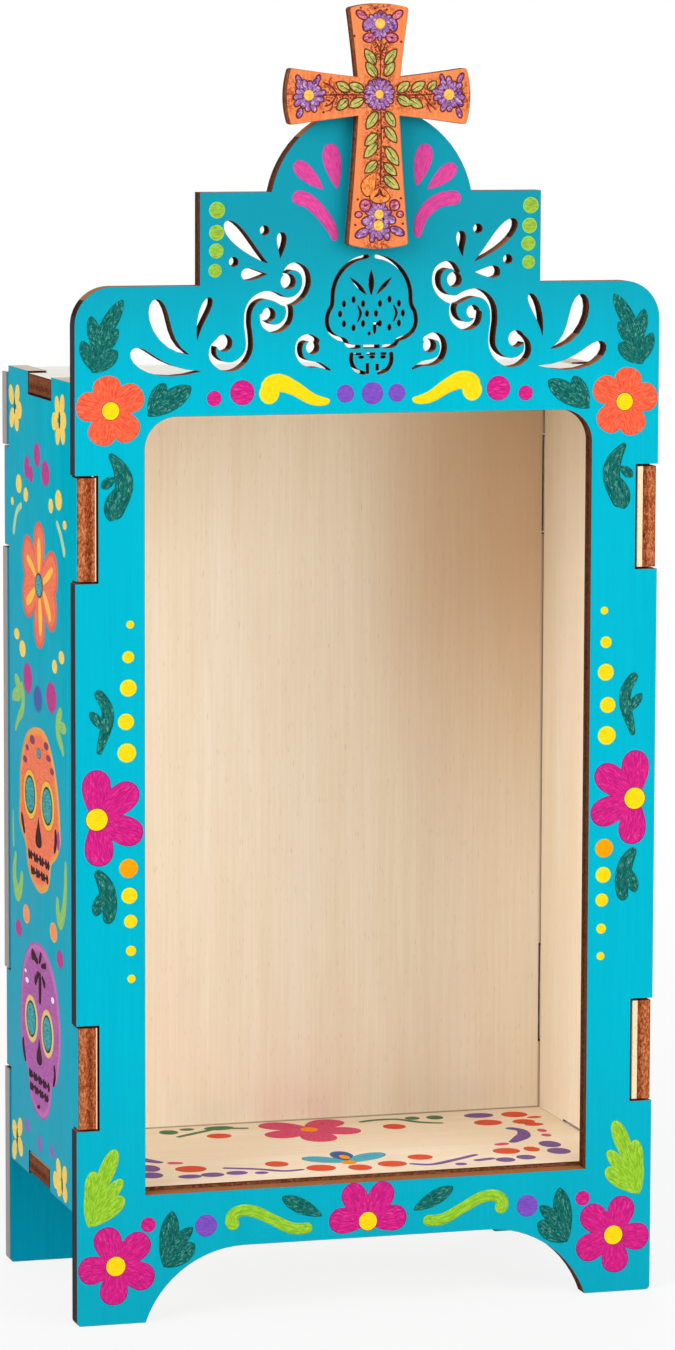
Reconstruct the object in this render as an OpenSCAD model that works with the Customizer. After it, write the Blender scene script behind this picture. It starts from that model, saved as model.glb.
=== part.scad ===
// Retablo box: a shadow box of slotted, laser-cut plywood boards with a glued-on cross.
// The boards stand on four feet. X runs across the box, Y from front to back, Z up.
// The origin is on the ground, under the middle of the whole object.

/* [Sheet] */
// Thickness of every board
sheet_t = 4.8; // [4:0.1:5.5]
// Gap round a tab in its notch
joint_gap = 0.55; // [0.1:0.05:0.7]

/* [Box] */
// Width of the front and back boards
box_w = 150; // [140:1:170]
// Depth over the front and back boards
box_d = 78; // [70:1:110]
// How far the side boards sit in from the edges of the front and back boards
side_inset = 0.5; // [0:0.1:1]
// Height of the lower edge of the side boards above the ground
side_bottom_z = 27.6; // [22:0.1:28]
// Height of the upper edge of the side boards above the ground
side_top_z = 233.2; // [230:0.1:236]
// Height of the floor's upper face above the ground
floor_z = 33.2; // [33:0.1:34]
// How far the top board lies below the upper edge of the side boards
top_drop = 0.5; // [0:0.1:0.8]
// Height of the back board above the ground
back_h = 231.5; // [228:0.5:232]

/* [Tabs] */
// Height of the side boards' tabs in the front and back boards
tab_h = 25.3; // [20:0.1:28]
// Middle of the lower front tabs above the ground
low_tab_z = 62.2; // [58:0.1:66]
// Middle of the upper front tabs above the ground
high_tab_z = 197.8; // [190:0.1:200]
// How much higher the tabs in the back board sit than those in the front board
rear_tab_rise = 2; // [0:0.1:3]
// Length of the top board's tabs in the side boards
top_tab_l = 24; // [16:1:30]
// Length of the floor's tabs in the side boards
floor_tab_l = 22; // [16:1:30]
// How far the floor's tabs sit behind the middle of the box
floor_tab_back = 3; // [0:0.5:5]

/* [Front outline] */
// Height of the shoulders above the ground
shoulder_z = 256.8; // [255:0.1:258]
// Radius of the rounded shoulders
shoulder_r = 9.5; // [6:0.5:12]
// Width of the raised step
step_w = 87.2; // [86:0.2:90]
// Height of the raised step above the ground
step_z = 279.4; // [279:0.1:281]
// Radius of the dome behind the cross
dome_r = 26; // [25.5:0.1:27]
// Height of the dome's centre above the ground
dome_z = 274.4; // [273:0.1:276]
// Width of the window
window_w = 115; // [112:0.5:116]
// Height of the window's lower edge above the ground
window_low_z = 32.2; // [31.5:0.1:32.8]
// Height of the window's upper edge above the ground
window_high_z = 225; // [222:0.1:225]
// Radius of the window's upper corners
window_r = 8; // [5:0.5:10]

/* [Feet] */
// Height of the arch between the feet
arch_h = 18.1; // [14:0.1:20]
// Radius of the arch's ends
arch_r = 27; // [24:0.5:30]
// Distance of the centres of the arch's ends from the middle
arch_x = 32; // [30:0.5:34]
// Radius of the rounded outer corners of the feet
foot_r = 1.2; // [0.6:0.1:2]

/* [Cross] */
// Height of the cross's centre above the ground
cross_z = 302.6; // [302:0.1:305]
// How far the glued cross sits to the right of the middle
cross_shift = 0.5; // [-1:0.1:1]
// Thickness of the cross's thinner sheet
cross_t = 3.9; // [3:0.1:5]
// Length of the upper arm to its corners
arm_up = 21.4; // [18:0.1:24]
// Length of the side arms to their corners
arm_side = 22.3; // [18:0.1:26]
// Length of the lower arm to its corners
arm_down = 36.0; // [30:0.1:37]
// Half width of the upper arm's end
end_up = 7.5; // [6:0.1:9]
// Half width of the side arms' ends
end_side = 6.9; // [6:0.1:8]
// Half width of the lower arm's end
end_down = 7.6; // [6:0.1:9]
// Half width of the upright where the arms meet
waist_x = 5; // [4:0.1:6]
// Half height of the side arms where they meet the upright
waist_z = 4.2; // [3.8:0.1:5]
// How far the arms' rounded ends stand out past their corners
arm_bulge = 1.1; // [0.5:0.1:2]
// Radius of the eased corners of the arms
cross_r = 0.7; // [0.3:0.1:1]

/* [Hidden] */
$fn = 64;

// The cross stands its own thickness in front of the front board.
front_y = -(box_d - cross_t) / 2;
rear_y = front_y + box_d;
half_w = box_w / 2;
outer_x = half_w - side_inset;
inner_x = outer_x - sheet_t;
notch_x = inner_x - joint_gap;
tab_zs = [low_tab_z, high_tab_z];
floor_low_z = floor_z - sheet_t;
top_low_z = side_top_z - top_drop - sheet_t;
middle_y = (front_y + rear_y) / 2;
floor_tab_y = middle_y + floor_tab_back;
past = 1;
teal = "darkturquoise";
cut_steps = 9;
line_steps = 3;
arm_steps = 6;
ease_steps = 4;
bulge_steps = 8;

// Fretwork of the left half, in millimetres from the middle and from the ground.
// Each drop is its tip, the bend of its middle line, its round end, and its half width.
leaf_drop = [[-26.4, 262.0], [-31.2, 265.3], [-37.2, 272.3], 2.4];
upright_drop = [[-23.4, 263.2], [-22.8, 266.2], [-23.0, 269.6], 1.5];
flat_drop = [[-26.6, 259.4], [-29.5, 259.3], [-33.2, 259.5], 1.8];
tall_drop = [[-46.3, 240.1], [-53.8, 242.6], [-54.6, 253.7], 2.9];
bent_drop = [[-44.3, 243.4], [-43.9, 248.6], [-40.8, 253.9], 1.5];
low_drop = [[-43.2, 236.0], [-54.6, 234.8], [-60.6, 241.5], 2.7];
// Each hole is its centre and its radius.
upper_dot = [-27.3, 270.1, 1.2];
outer_dot = [-35.1, 262.5, 1.2];
// Each scroll is the points of its middle line with the half width of the cut there.
main_scroll = [[-22.2, 259.6, 0.5], [-21.0, 260.9, 0.8], [-19.2, 261.2, 1.0], [-17.2, 259.9, 1.1],
    [-16.6, 257.4, 1.1], [-17.4, 254.9, 1.0], [-19.4, 253.1, 1.0], [-21.9, 252.6, 1.1],
    [-24.4, 253.8, 1.1], [-27.2, 254.3, 1.0], [-29.8, 253.1, 0.9], [-31.3, 250.7, 0.9],
    [-31.6, 247.5, 0.9], [-31.2, 244.3, 0.9], [-31.2, 241.1, 0.9], [-32.6, 238.6, 1.0],
    [-35.2, 237.0, 1.1], [-38.1, 237.3, 1.1], [-40.2, 239.2, 1.0], [-40.3, 241.6, 0.8],
    [-39.3, 243.2, 0.5]];
main_scroll_balls = [[-21.3, 257.6, 1.9], [-37.5, 242.8, 2.1]];
branch_scroll = [[-21.7, 252.7, 0.9], [-20.9, 250.6, 0.9], [-21.3, 248.2, 1.0],
    [-23.0, 246.5, 1.0], [-25.2, 246.1, 1.0], [-27.2, 247.3, 0.9], [-28.0, 249.3, 0.5]];
branch_scroll_balls = [[-26.2, 249.6, 1.7]];
small_scroll = [[-14.1, 243.0, 0.8], [-16.1, 243.8, 0.9], [-18.0, 242.9, 0.9],
    [-18.6, 240.7, 0.9], [-17.8, 238.4, 0.8], [-15.8, 237.3, 0.8], [-13.2, 237.0, 0.6],
    [-10.6, 235.8, 0.2]];
small_scroll_balls = [[-15.0, 241.4, 1.7]];

// Sugar skull of the fretwork: its left half is mirrored to the right.
skull_outline = [[-1.2, 263.5, 0.5], [-4.2, 262.7, 0.5], [-7.1, 260.7, 0.5], [-9.0, 258.0, 0.5],
    [-9.9, 255.0, 0.5], [-10.1, 251.8, 0.5], [-11.1, 249.8, 0.5], [-11.4, 247.2, 0.5],
    [-10.4, 244.9, 0.5], [-8.6, 243.6, 0.5], [-6.8, 243.0, 0.5], [-6.1, 241.9, 0.5],
    [-4.9, 241.4, 0.5], [-3.2, 241.4, 0.45]];
skull_jaw = [[-5.1, 239.5, 0.5], [-5.1, 237.6, 0.5], [-4.0, 235.7, 0.5], [-1.9, 234.9, 0.45]];
skull_petals = [[[-1.3, 254.1], [-3.0, 256.0], [-5.6, 258.5], 0.55],
    [[5.2, 258.4], [3.0, 256.2], [1.2, 254.1], 0.5]];
skull_mid_petal = [[-0.1, 253.9], [-0.1, 257.0], [-0.1, 260.3], 0.75];
eye_x = 4.6;
eye_z = 249.5;
eye_ring = 3.45;
eye_dots = 8;
eye_dot = [0.5, 0.85];
eye_crescent = [[1.1, 1.9, 0.15], [1.8, 0.1, 0.35], [1.1, -1.9, 0.15]];
nose_dots = [[-0.6, 244.6, 0.4, 0.5], [0.8, 246.0, 0.45, 1.6], [1.5, 247.0, 0.8, 0.4]];
tooth_xs = [-2.6, 0.2, 3.0];
tooth_z = 238.8;
tooth = [0.75, 0.4];
lip_slots = [[-2.1, 241.4, 2.1, 0.45], [-4.2, 239.6, -2.6, 0.3], [-1.2, 239.6, 1.0, 0.3],
    [2.4, 239.6, 3.8, 0.3]];
chin_slots = [[-1.0, 236.0, 0.4, 1.3], [1.5, 236.3, 0.4, 0.8]];

// Points of a smooth line through the points p, of any number of values each
function between(a, b, c, d, s) =
    0.5 * (2 * b + (c - a) * s + (2 * a - 5 * b + 4 * c - d) * s * s
           + (3 * b - a - 3 * c + d) * s * s * s);
function smooth_line(p, steps) =
    let (last = len(p) - 1)
    [for (i = [0:last - 1]) for (k = [0:steps - 1])
        between(p[max(i - 1, 0)], p[i], p[i + 1], p[min(i + 2, last)], k / steps),
     p[last]];

// Unit vector across the line q at its point i
function across(q, i) =
    let (d = q[min(i + 1, len(q) - 1)] - q[max(i - 1, 0)])
    [-d[1], d[0]] / norm([d[0], d[1]]);
function edge_point(q, i, side) =
    [q[i][0], q[i][1]] + across(q, i) * q[i][2] * side;

// A cut that follows a smooth line, with round ends
module ribbon(p) {
    q = smooth_line(p, line_steps);
    last = len(q) - 1;
    polygon(concat([for (i = [0:last]) edge_point(q, i, 1)],
                   [for (i = [last:-1:0]) edge_point(q, i, -1)]));
    for (e = [q[0], q[last]])
        translate([e[0], e[1]]) circle(r = e[2], $fn = 16);
}

// A drop: pointed at its tip, round at its other end, bent along its middle line
function bend(d, u) = pow(1 - u, 2) * d[0] + 2 * u * (1 - u) * d[1] + u * u * d[2];
function bend_dir(d, u) = (1 - u) * (d[1] - d[0]) + u * (d[2] - d[1]);
function drop_half(d, u) = d[3] * 1.35 * u * sqrt(1 - pow(u, 4));
function drop_edge(d, u, side) =
    let (v = bend_dir(d, u))
    bend(d, u) + [-v[1], v[0]] / norm(v) * drop_half(d, u) * side;
module drop(d) {
    us = [for (k = [0:cut_steps]) sin(90 * k / cut_steps)];
    polygon(concat([for (k = [0:cut_steps]) drop_edge(d, us[k], 1)],
                   [for (k = [cut_steps - 1:-1:1]) drop_edge(d, us[k], -1)]));
}

// A petal, pointed at both ends
function petal_half(d, u) = d[3] * sin(180 * u);
function petal_edge(d, u, side) =
    let (v = bend_dir(d, u))
    bend(d, u) + [-v[1], v[0]] / norm(v) * petal_half(d, u) * side;
module petal(d) {
    polygon(concat([for (k = [0:6]) petal_edge(d, k / 6, 1)],
                   [for (k = [5:-1:1]) petal_edge(d, k / 6, -1)]));
}

// A small upright oval
module oval(x, z, rx, rz) {
    polygon([for (k = [0:9]) [x + rx * cos(36 * k), z + rz * sin(36 * k)]]);
}

module ball(b) {
    translate([b[0], b[1]]) circle(r = b[2], $fn = 24);
}

module scroll(line, balls) {
    ribbon(line);
    for (b = balls) ball(b);
}

module side_fretwork() {
    for (d = [leaf_drop, upright_drop, flat_drop, tall_drop, bent_drop, low_drop]) drop(d);
    ball(upper_dot);
    ball(outer_dot);
    scroll(main_scroll, main_scroll_balls);
    scroll(branch_scroll, branch_scroll_balls);
    scroll(small_scroll, small_scroll_balls);
}

module skull_eye(x) {
    for (k = [0:eye_dots - 1])
        let (a = 360 * k / eye_dots)
        oval(x + eye_ring * cos(a), eye_z + eye_ring * sin(a), eye_dot[0], eye_dot[1]);
    ribbon([for (p = eye_crescent) [x + p[0], eye_z + p[1], p[2]]]);
}

module skull_fretwork() {
    for (side = [0, 1]) mirror([side, 0]) {
        ribbon(skull_outline);
        ribbon(skull_jaw);
    }
    for (d = skull_petals) petal(d);
    petal(skull_mid_petal);
    for (x = [-eye_x, eye_x]) skull_eye(x);
    for (n = nose_dots) oval(n[0], n[1], n[2], n[3]);
    for (x = tooth_xs) oval(x, tooth_z, tooth[0], tooth[1]);
    for (s = lip_slots)
        translate([s[0], s[1] - s[3]]) square([s[2] - s[0], 2 * s[3]]);
    for (s = chin_slots)
        translate([s[0] - s[2], s[1] - s[3]]) square([2 * s[2], 2 * s[3]]);
}

// Arch between two feet, cut up from the ground
module arch() {
    intersection() {
        union() {
            translate([-arch_x, arch_h - arch_r]) square([2 * arch_x, arch_r]);
            for (x = [-arch_x, arch_x]) translate([x, arch_h - arch_r]) circle(r = arch_r);
        }
        translate([-half_w, -past]) square([box_w, arch_h + 2 * past]);
    }
}

// A rectangle with its lower corners rounded
module footed_board(h) {
    for (x = [foot_r - half_w, half_w - foot_r]) translate([x, foot_r]) circle(r = foot_r);
    translate([-half_w, foot_r]) square([box_w, h - foot_r]);
    translate([foot_r - half_w, 0]) square([box_w - 2 * foot_r, h]);
}

// Open notches for the side boards' tabs, in both edges of a board
module edge_notches(rise) {
    for (side = [-1, 1]) for (z = tab_zs)
        translate([side > 0 ? notch_x : -half_w - past, z + rise - tab_h / 2 - joint_gap])
            square([half_w + past - notch_x, tab_h + 2 * joint_gap]);
}

module front_outline() {
    footed_board(shoulder_z - shoulder_r);
    for (x = [shoulder_r - half_w, half_w - shoulder_r])
        translate([x, shoulder_z - shoulder_r]) circle(r = shoulder_r);
    translate([shoulder_r - half_w, shoulder_z / 2])
        square([box_w - 2 * shoulder_r, shoulder_z / 2]);
    translate([-step_w / 2, shoulder_z / 2]) square([step_w, step_z - shoulder_z / 2]);
    translate([0, dome_z]) circle(r = dome_r);
}

module window_hole() {
    translate([-window_w / 2, window_low_z])
        square([window_w, window_high_z - window_r - window_low_z]);
    translate([window_r - window_w / 2, window_high_z - 2 * window_r])
        square([window_w - 2 * window_r, 2 * window_r]);
    for (x = [window_r - window_w / 2, window_w / 2 - window_r])
        translate([x, window_high_z - window_r]) circle(r = window_r);
}

// Stands a flat outline up as a sheet, with its front face at y
module upright(y, thick = sheet_t) {
    translate([0, y + thick, 0]) rotate([90, 0, 0]) linear_extrude(thick) children();
}

module front_panel() {
    color(teal) upright(front_y) difference() {
        front_outline();
        window_hole();
        arch();
        edge_notches(0);
        for (side = [0, 1]) mirror([side, 0]) side_fretwork();
        skull_fretwork();
    }
}

module back_panel() {
    color(teal) upright(rear_y - sheet_t) difference() {
        footed_board(back_h);
        arch();
        edge_notches(rear_tab_rise);
    }
}

// Outline of a side board, drawn with y across and z up
module side_outline() {
    difference() {
        union() {
            translate([front_y + sheet_t, side_bottom_z])
                square([box_d - 2 * sheet_t, side_top_z - side_bottom_z]);
            for (z = tab_zs) {
                translate([front_y, z - tab_h / 2]) square([box_d / 2, tab_h]);
                translate([middle_y, z + rear_tab_rise - tab_h / 2]) square([box_d / 2, tab_h]);
            }
        }
        translate([floor_tab_y - floor_tab_l / 2 - joint_gap, side_bottom_z - past])
            square([floor_tab_l + 2 * joint_gap, floor_z + joint_gap - side_bottom_z + past]);
        translate([middle_y - top_tab_l / 2 - joint_gap, top_low_z - joint_gap])
            square([top_tab_l + 2 * joint_gap, side_top_z - top_low_z + joint_gap + past]);
    }
}

// A side board with its outer face at x, and its thickness towards the middle
module side_board(left_x) {
    color(teal) translate([left_x, 0, 0]) rotate([90, 0, 90])
        linear_extrude(sheet_t) side_outline();
}

module left_side() {
    side_board(-outer_x);
}

module right_side() {
    side_board(inner_x);
}

// A level board between the side boards, with one tab through each of them
module level_board(z, tab_y, tab_l) {
    translate([0, 0, z]) linear_extrude(sheet_t) {
        translate([-inner_x, front_y + sheet_t]) square([2 * inner_x, box_d - 2 * sheet_t]);
        translate([-outer_x, tab_y - tab_l / 2]) square([2 * outer_x, tab_l]);
    }
}

module top_panel() {
    color("antiquewhite") level_board(top_low_z, middle_y, top_tab_l);
}

module floor_panel() {
    color("burlywood") level_board(floor_low_z, floor_tab_y, floor_tab_l);
}

// Half width of a flared arm at the share u of its length
function flare(waist, half_end, u) = waist + (half_end - waist) * (0.75 * u + 0.25 * u * u);

// Right half of a flared arm's outline, from its waist up to the top of its rounded end.
// The corner is eased by an arc that touches the arm's side and its end.
function arm_half(waist, half_end, length) =
    let (bulge_r = (half_end * half_end + arm_bulge * arm_bulge) / (2 * arm_bulge),
         bulge_z = length + arm_bulge - bulge_r,
         ease_x = flare(waist, half_end, 1 - cross_r / length) - cross_r,
         ease_z = bulge_z + sqrt(pow(bulge_r - cross_r, 2) - ease_x * ease_x),
         touch = acos(ease_x / (bulge_r - cross_r)))
    [for (k = [0:arm_steps]) let (z = ease_z * k / arm_steps)
         [flare(waist, half_end, z / length), z],
     for (k = [1:ease_steps]) let (a = touch * k / ease_steps)
         [ease_x + cross_r * cos(a), ease_z + cross_r * sin(a)],
     for (k = [1:bulge_steps]) let (a = touch + (90 - touch) * k / bulge_steps)
         [bulge_r * cos(a), bulge_z + bulge_r * sin(a)]];

// One flared arm, pointing up
module flared_arm(waist, half_end, length) {
    half = arm_half(waist, half_end, length);
    polygon(concat(half, [for (k = [len(half) - 2:-1:0]) [-half[k][0], half[k][1]]]));
}

module cross_outline() {
    flared_arm(waist_x, end_up, arm_up);
    rotate(180) flared_arm(waist_x, end_down, arm_down);
    for (turn = [-90, 90]) rotate(turn) flared_arm(waist_z, end_side, arm_side);
    translate([-waist_x, -waist_z]) square([2 * waist_x, 2 * waist_z]);
}

module cross() {
    color("sandybrown") translate([cross_shift, 0, cross_z])
        upright(front_y - cross_t, cross_t) cross_outline();
}

front_panel();
back_panel();
left_side();
right_side();
top_panel();
floor_panel();
cross();
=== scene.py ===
# %% [markdown]
# # Dressing a painted retablo box
# The box is laser-cut plywood: seven boards that slot together, with a cross glued on the crest.
# Their shapes come from the CAD model. This lesson gives them their finishes, and paints the folk
# ornaments on them. It starts by loading the imported model.

# %% The imported model
import math

import bmesh
import bpy
import numpy as np
from mathutils import Matrix, Vector


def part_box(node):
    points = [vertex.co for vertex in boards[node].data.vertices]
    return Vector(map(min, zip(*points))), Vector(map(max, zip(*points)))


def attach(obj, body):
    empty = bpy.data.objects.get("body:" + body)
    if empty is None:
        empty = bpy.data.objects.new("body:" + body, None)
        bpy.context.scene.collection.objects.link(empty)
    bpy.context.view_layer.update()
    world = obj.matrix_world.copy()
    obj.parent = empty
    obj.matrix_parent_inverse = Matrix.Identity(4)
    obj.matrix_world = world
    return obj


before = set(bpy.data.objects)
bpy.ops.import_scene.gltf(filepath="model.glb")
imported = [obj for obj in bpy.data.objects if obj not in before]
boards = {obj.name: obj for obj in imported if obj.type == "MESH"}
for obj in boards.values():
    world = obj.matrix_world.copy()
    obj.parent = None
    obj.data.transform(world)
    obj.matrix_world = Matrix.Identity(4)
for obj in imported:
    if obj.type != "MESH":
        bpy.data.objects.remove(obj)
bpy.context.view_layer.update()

MM = 0.001  # metres in a millimetre
FRONT = -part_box("front_panel")[0].y / MM  # the front board's face is this far in front of the origin
print("boards:", ", ".join(sorted(boards)), "| front face at", round(-FRONT, 2), "mm")

# %% [markdown]
# ## The camera
# The photograph looks at the box from its left and a little above, from far away. The lens and the
# place come from a fit of the board edges, so the render lies close to the photograph. The turns
# are made one after another: towards the box, down, and a last touch of roll.

# %% The camera
LENS = 146.18
TURN, DIP, ROLL = 0.2870, 0.1227, 0.0033  # radians
STAND = Vector((-388.9, -1326.2, 326.1)) * MM

lens = bpy.data.cameras.new("photo_lens")
lens.lens, lens.sensor_width, lens.clip_end = LENS, 36, 60
camera = bpy.data.objects.new("photo_camera", lens)
camera.matrix_world = (
    Matrix.Translation(STAND)
    @ Matrix.Rotation(-TURN, 4, "Z")
    @ Matrix.Rotation(math.pi / 2 - DIP, 4, "X")
    @ Matrix.Rotation(ROLL, 4, "Z")
)
bpy.context.scene.collection.objects.link(camera)
bpy.context.scene.camera = camera
bpy.context.scene.view_settings.view_transform = "Standard"
print("camera", round(STAND.length, 2), "m from the box")

# %% [markdown]
# ## Colours and a short way to wire nodes
# Colours are written as they look on a screen, from 0 to 255, and turned into the linear values that
# shaders need. Small helpers add a node, do a sum, mix two colours, and make and place a node group.
# Each returns what the next node reads, so a material can be read from top to bottom.

# %% Colours
def paint_chip(red, green, blue):
    """A screen colour, 0 to 255, as linear red, green, blue and 1."""
    levels = [c / 255 for c in (red, green, blue)]
    return [c / 12.92 if c <= 0.04045 else ((c + 0.055) / 1.055) ** 2.4 for c in levels] + [1]


TURQUOISE = paint_chip(0, 180, 203)
BARE_LIGHT, BARE_DARK = paint_chip(255, 245, 227), paint_chip(251, 236, 213)
PAINTED_SHADE_BROWN = paint_chip(206, 158, 108)  # painted shade: the back board's inner face turns darker and browner towards its upper right
PAINT_SHINE = 0.02  # the paint is matt, so its specular level is low
print("turquoise is", [round(c, 3) for c in TURQUOISE[:3]], "in linear light")


# %% Node helpers
def add(tree, kind, inputs=None, **settings):
    """A new node with its settings and inputs. An input is a value, or the output that feeds it."""
    made = tree.nodes.new("ShaderNode" + kind)
    for name, value in settings.items():
        setattr(made, name, value)
    for name, value in (inputs or {}).items():
        if isinstance(value, bpy.types.NodeSocket):
            tree.links.new(value, made.inputs[name])
        else:
            made.inputs[name].default_value = value
    return made


def sum_of(tree, operation, first, second=0.5, third=0.5, clamp=False):
    """The output of a Math node."""
    return add(tree, "Math", {0: first, 1: second, 2: third}, operation=operation, use_clamp=clamp).outputs[0]


def blend(tree, share, under, over, kind="MIX"):
    """The colour output of a Mix node that lays over on under."""
    mixed = add(tree, "Mix", {0: share, 6: under, 7: over}, data_type="RGBA", blend_type=kind)
    return mixed.outputs[2]


def span(tree, value, low, high, to_low=0.0, to_high=1.0, smooth=False):
    """value moved from the span low..high to to_low..to_high, and held inside it."""
    kind = "SMOOTHSTEP" if smooth else "LINEAR"
    names = dict(zip(("Value", "From Min", "From Max", "To Min", "To Max"), (value, low, high, to_low, to_high)))
    return add(tree, "MapRange", names, interpolation_type=kind).outputs[0]


def new_group(name, takes, gives):
    """An empty node group with named inputs and outputs, and its two end nodes."""
    tree = bpy.data.node_groups.new(name, "ShaderNodeTree")
    for label, kind, value in takes:
        socket = tree.interface.new_socket(name=label, in_out="INPUT", socket_type="NodeSocket" + kind)
        if value is not None:
            socket.default_value = value
    for label, kind in gives:
        tree.interface.new_socket(name=label, in_out="OUTPUT", socket_type="NodeSocket" + kind)
    return tree, tree.nodes.new("NodeGroupInput").outputs, tree.nodes.new("NodeGroupOutput").inputs


def place(tree, group, inputs):
    """Puts a node group into a material and returns its outputs."""
    return add(tree, "Group", inputs, node_tree=group).outputs


# %% [markdown]
# ## Floor, backdrop and light
# The box stands on a white studio table. The photograph's light comes softly from the right and from
# above, because the window's right edge and top shade the back wall inside. A pale sky fills in from
# everywhere, and three more lamps keep the left side, the top and the back readable. The floor shows
# the camera a nearly white colour, and the lamps shade only part of it, so the shadow stays pale.

# %% The sky
SKY_LIGHT = 0.29  # the sky's strength on the box, where 1 is plain white


def looked_at(tree):
    """1 where the camera, a reflection or a refraction looks, and 0 where light is gathered."""
    ray = add(tree, "LightPath").outputs
    seen = sum_of(tree, "MAXIMUM", ray["Is Camera Ray"], ray["Is Glossy Ray"])
    return sum_of(tree, "MAXIMUM", seen, ray["Is Transmission Ray"])


def sky():
    """White where the camera or a reflection looks at it, and a dimmer, even light on the box."""
    world = bpy.data.worlds.new("studio_sky")
    world.use_nodes = True
    tree = world.node_tree
    tree.nodes.clear()
    dim = add(tree, "Background", {"Color": paint_chip(253, 254, 255), "Strength": SKY_LIGHT})
    white = add(tree, "Background", {"Color": (1, 1, 1, 1), "Strength": 1.0})
    both = add(tree, "MixShader", {0: looked_at(tree), 1: dim.outputs[0], 2: white.outputs[0]})
    tree.links.new(both.outputs[0], add(tree, "OutputWorld").inputs["Surface"])
    bpy.context.scene.world = world


sky()


# %% The lamps
def lamp(name, azimuth, elevation, away, wide, watts, tint=(1, 1, 1)):
    """A square soft lamp that looks at the middle of the box. Azimuth 0 is in front, 90 on the right.
    Angles are in degrees, its distance and width in metres."""
    light = bpy.data.lights.new(name, "AREA")
    light.shape, light.size, light.energy, light.color = "SQUARE", wide, watts, tint
    thing = bpy.data.objects.new(name, light)
    a, e = math.radians(azimuth), math.radians(elevation)
    back = Vector((math.sin(a) * math.cos(e), -math.cos(a) * math.cos(e), math.sin(e)))
    thing.location = Vector((0, 0, 0.15)) + back * away
    thing.rotation_euler = back.to_track_quat("Z", "Y").to_euler()
    bpy.context.scene.collection.objects.link(thing)


lamp("key_lamp", 36, 13, 1.6, 1.1, 13.6, (1, 0.99, 0.98))
lamp("left_lamp", -60, 21, 1.7, 1.0, 16)
lamp("top_lamp", -8, 60, 1.6, 1.2, 4.6)
lamp("rear_lamp", 165, 35, 1.8, 1.0, 10.0)


# %% The floor
UNSHADED = 0.84  # the share of plain white under the box; the rest takes light and shadow
WHITER_FROM_TO = (0.15, 0.9)  # that share grows to 1 between these distances, in metres


def studio_floor():
    """A large pale table top, white to the camera except where the box shades it."""
    bm = bmesh.new()
    bmesh.ops.create_grid(bm, x_segments=1, y_segments=1, size=12)
    mesh = bpy.data.meshes.new("studio_floor")
    bm.to_mesh(mesh)
    bm.free()
    floor = bpy.data.objects.new("studio_floor", mesh)
    material = bpy.data.materials.new("white_table")
    material.use_nodes = True
    tree = material.node_tree
    tree.nodes.clear()
    spot = add(tree, "TexCoord").outputs["Object"]
    away = add(tree, "VectorMath", {0: spot}, operation="LENGTH").outputs["Value"]
    plain = add(tree, "BsdfDiffuse", {"Color": paint_chip(238, 238, 238)})
    glow = add(tree, "Emission", {"Color": (1, 1, 1, 1), "Strength": 1.0})
    whiter = span(tree, away, *WHITER_FROM_TO, UNSHADED, 1.0, smooth=True)
    share = sum_of(tree, "MULTIPLY", looked_at(tree), whiter)
    both = add(tree, "MixShader", {0: share, 1: plain.outputs[0], 2: glow.outputs[0]})
    tree.links.new(both.outputs[0], add(tree, "OutputMaterial").inputs["Surface"])
    mesh.materials.append(material)
    bpy.context.scene.collection.objects.link(floor)


studio_floor()

# %% [markdown]
# ## Telling a board's faces apart
# Each board was painted on one or both flat sides and then cut by a laser, so its cut edges are bare
# and burnt. One material can show all of that if it knows which side it is on. The first group
# compares the surface's direction with the way out of the board, and gives one mask for the outer
# side, one for the inner side and one for the cut edge, and how deep a point lies in the sheet.

# %% Which side of the board
def board_sides():
    takes = [("Way Out", "Vector", (0, -1, 0)), ("Outer Side", "Float", 36.6), ("Sheet", "Float", 4.8)]
    gives = [("Outer", "Float"), ("Inner", "Float"), ("Cut", "Float"), ("Depth", "Float"), ("Place", "Vector")]
    gives.append(("Facing", "Vector"))
    tree, given, out = new_group("board sides", takes, gives)
    spot = add(tree, "TexCoord").outputs["Object"]
    place_mm = add(tree, "VectorMath", {0: spot, "Scale": 1 / MM}, operation="SCALE").outputs[0]
    facing = add(tree, "NewGeometry").outputs["True Normal"]
    lean = add(tree, "VectorMath", {0: facing, 1: given["Way Out"]}, operation="DOT_PRODUCT").outputs["Value"]
    reach = add(tree, "VectorMath", {0: place_mm, 1: given["Way Out"]}, operation="DOT_PRODUCT").outputs["Value"]
    outer = sum_of(tree, "GREATER_THAN", lean, 0.7)
    inner = sum_of(tree, "LESS_THAN", lean, -0.7)
    cut = sum_of(tree, "SUBTRACT", sum_of(tree, "SUBTRACT", 1.0, outer), inner)
    depth = sum_of(tree, "SUBTRACT", given["Outer Side"], reach)
    for (name, _), value in zip(gives, (outer, inner, cut, depth, place_mm, facing)):
        tree.links.new(value, out[name])
    return tree


SIDES = board_sides()
print("group:", SIDES.name)

# %% [markdown]
# ## Wood grain
# Veneer has long, narrow fibres. A noise that is squeezed along one direction draws them: fine lines
# under a millimetre wide, wider light and dark bands, and short pores. The group takes places in
# millimetres with the grain along Z, and the material turns them first where a board lies flat.

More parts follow.
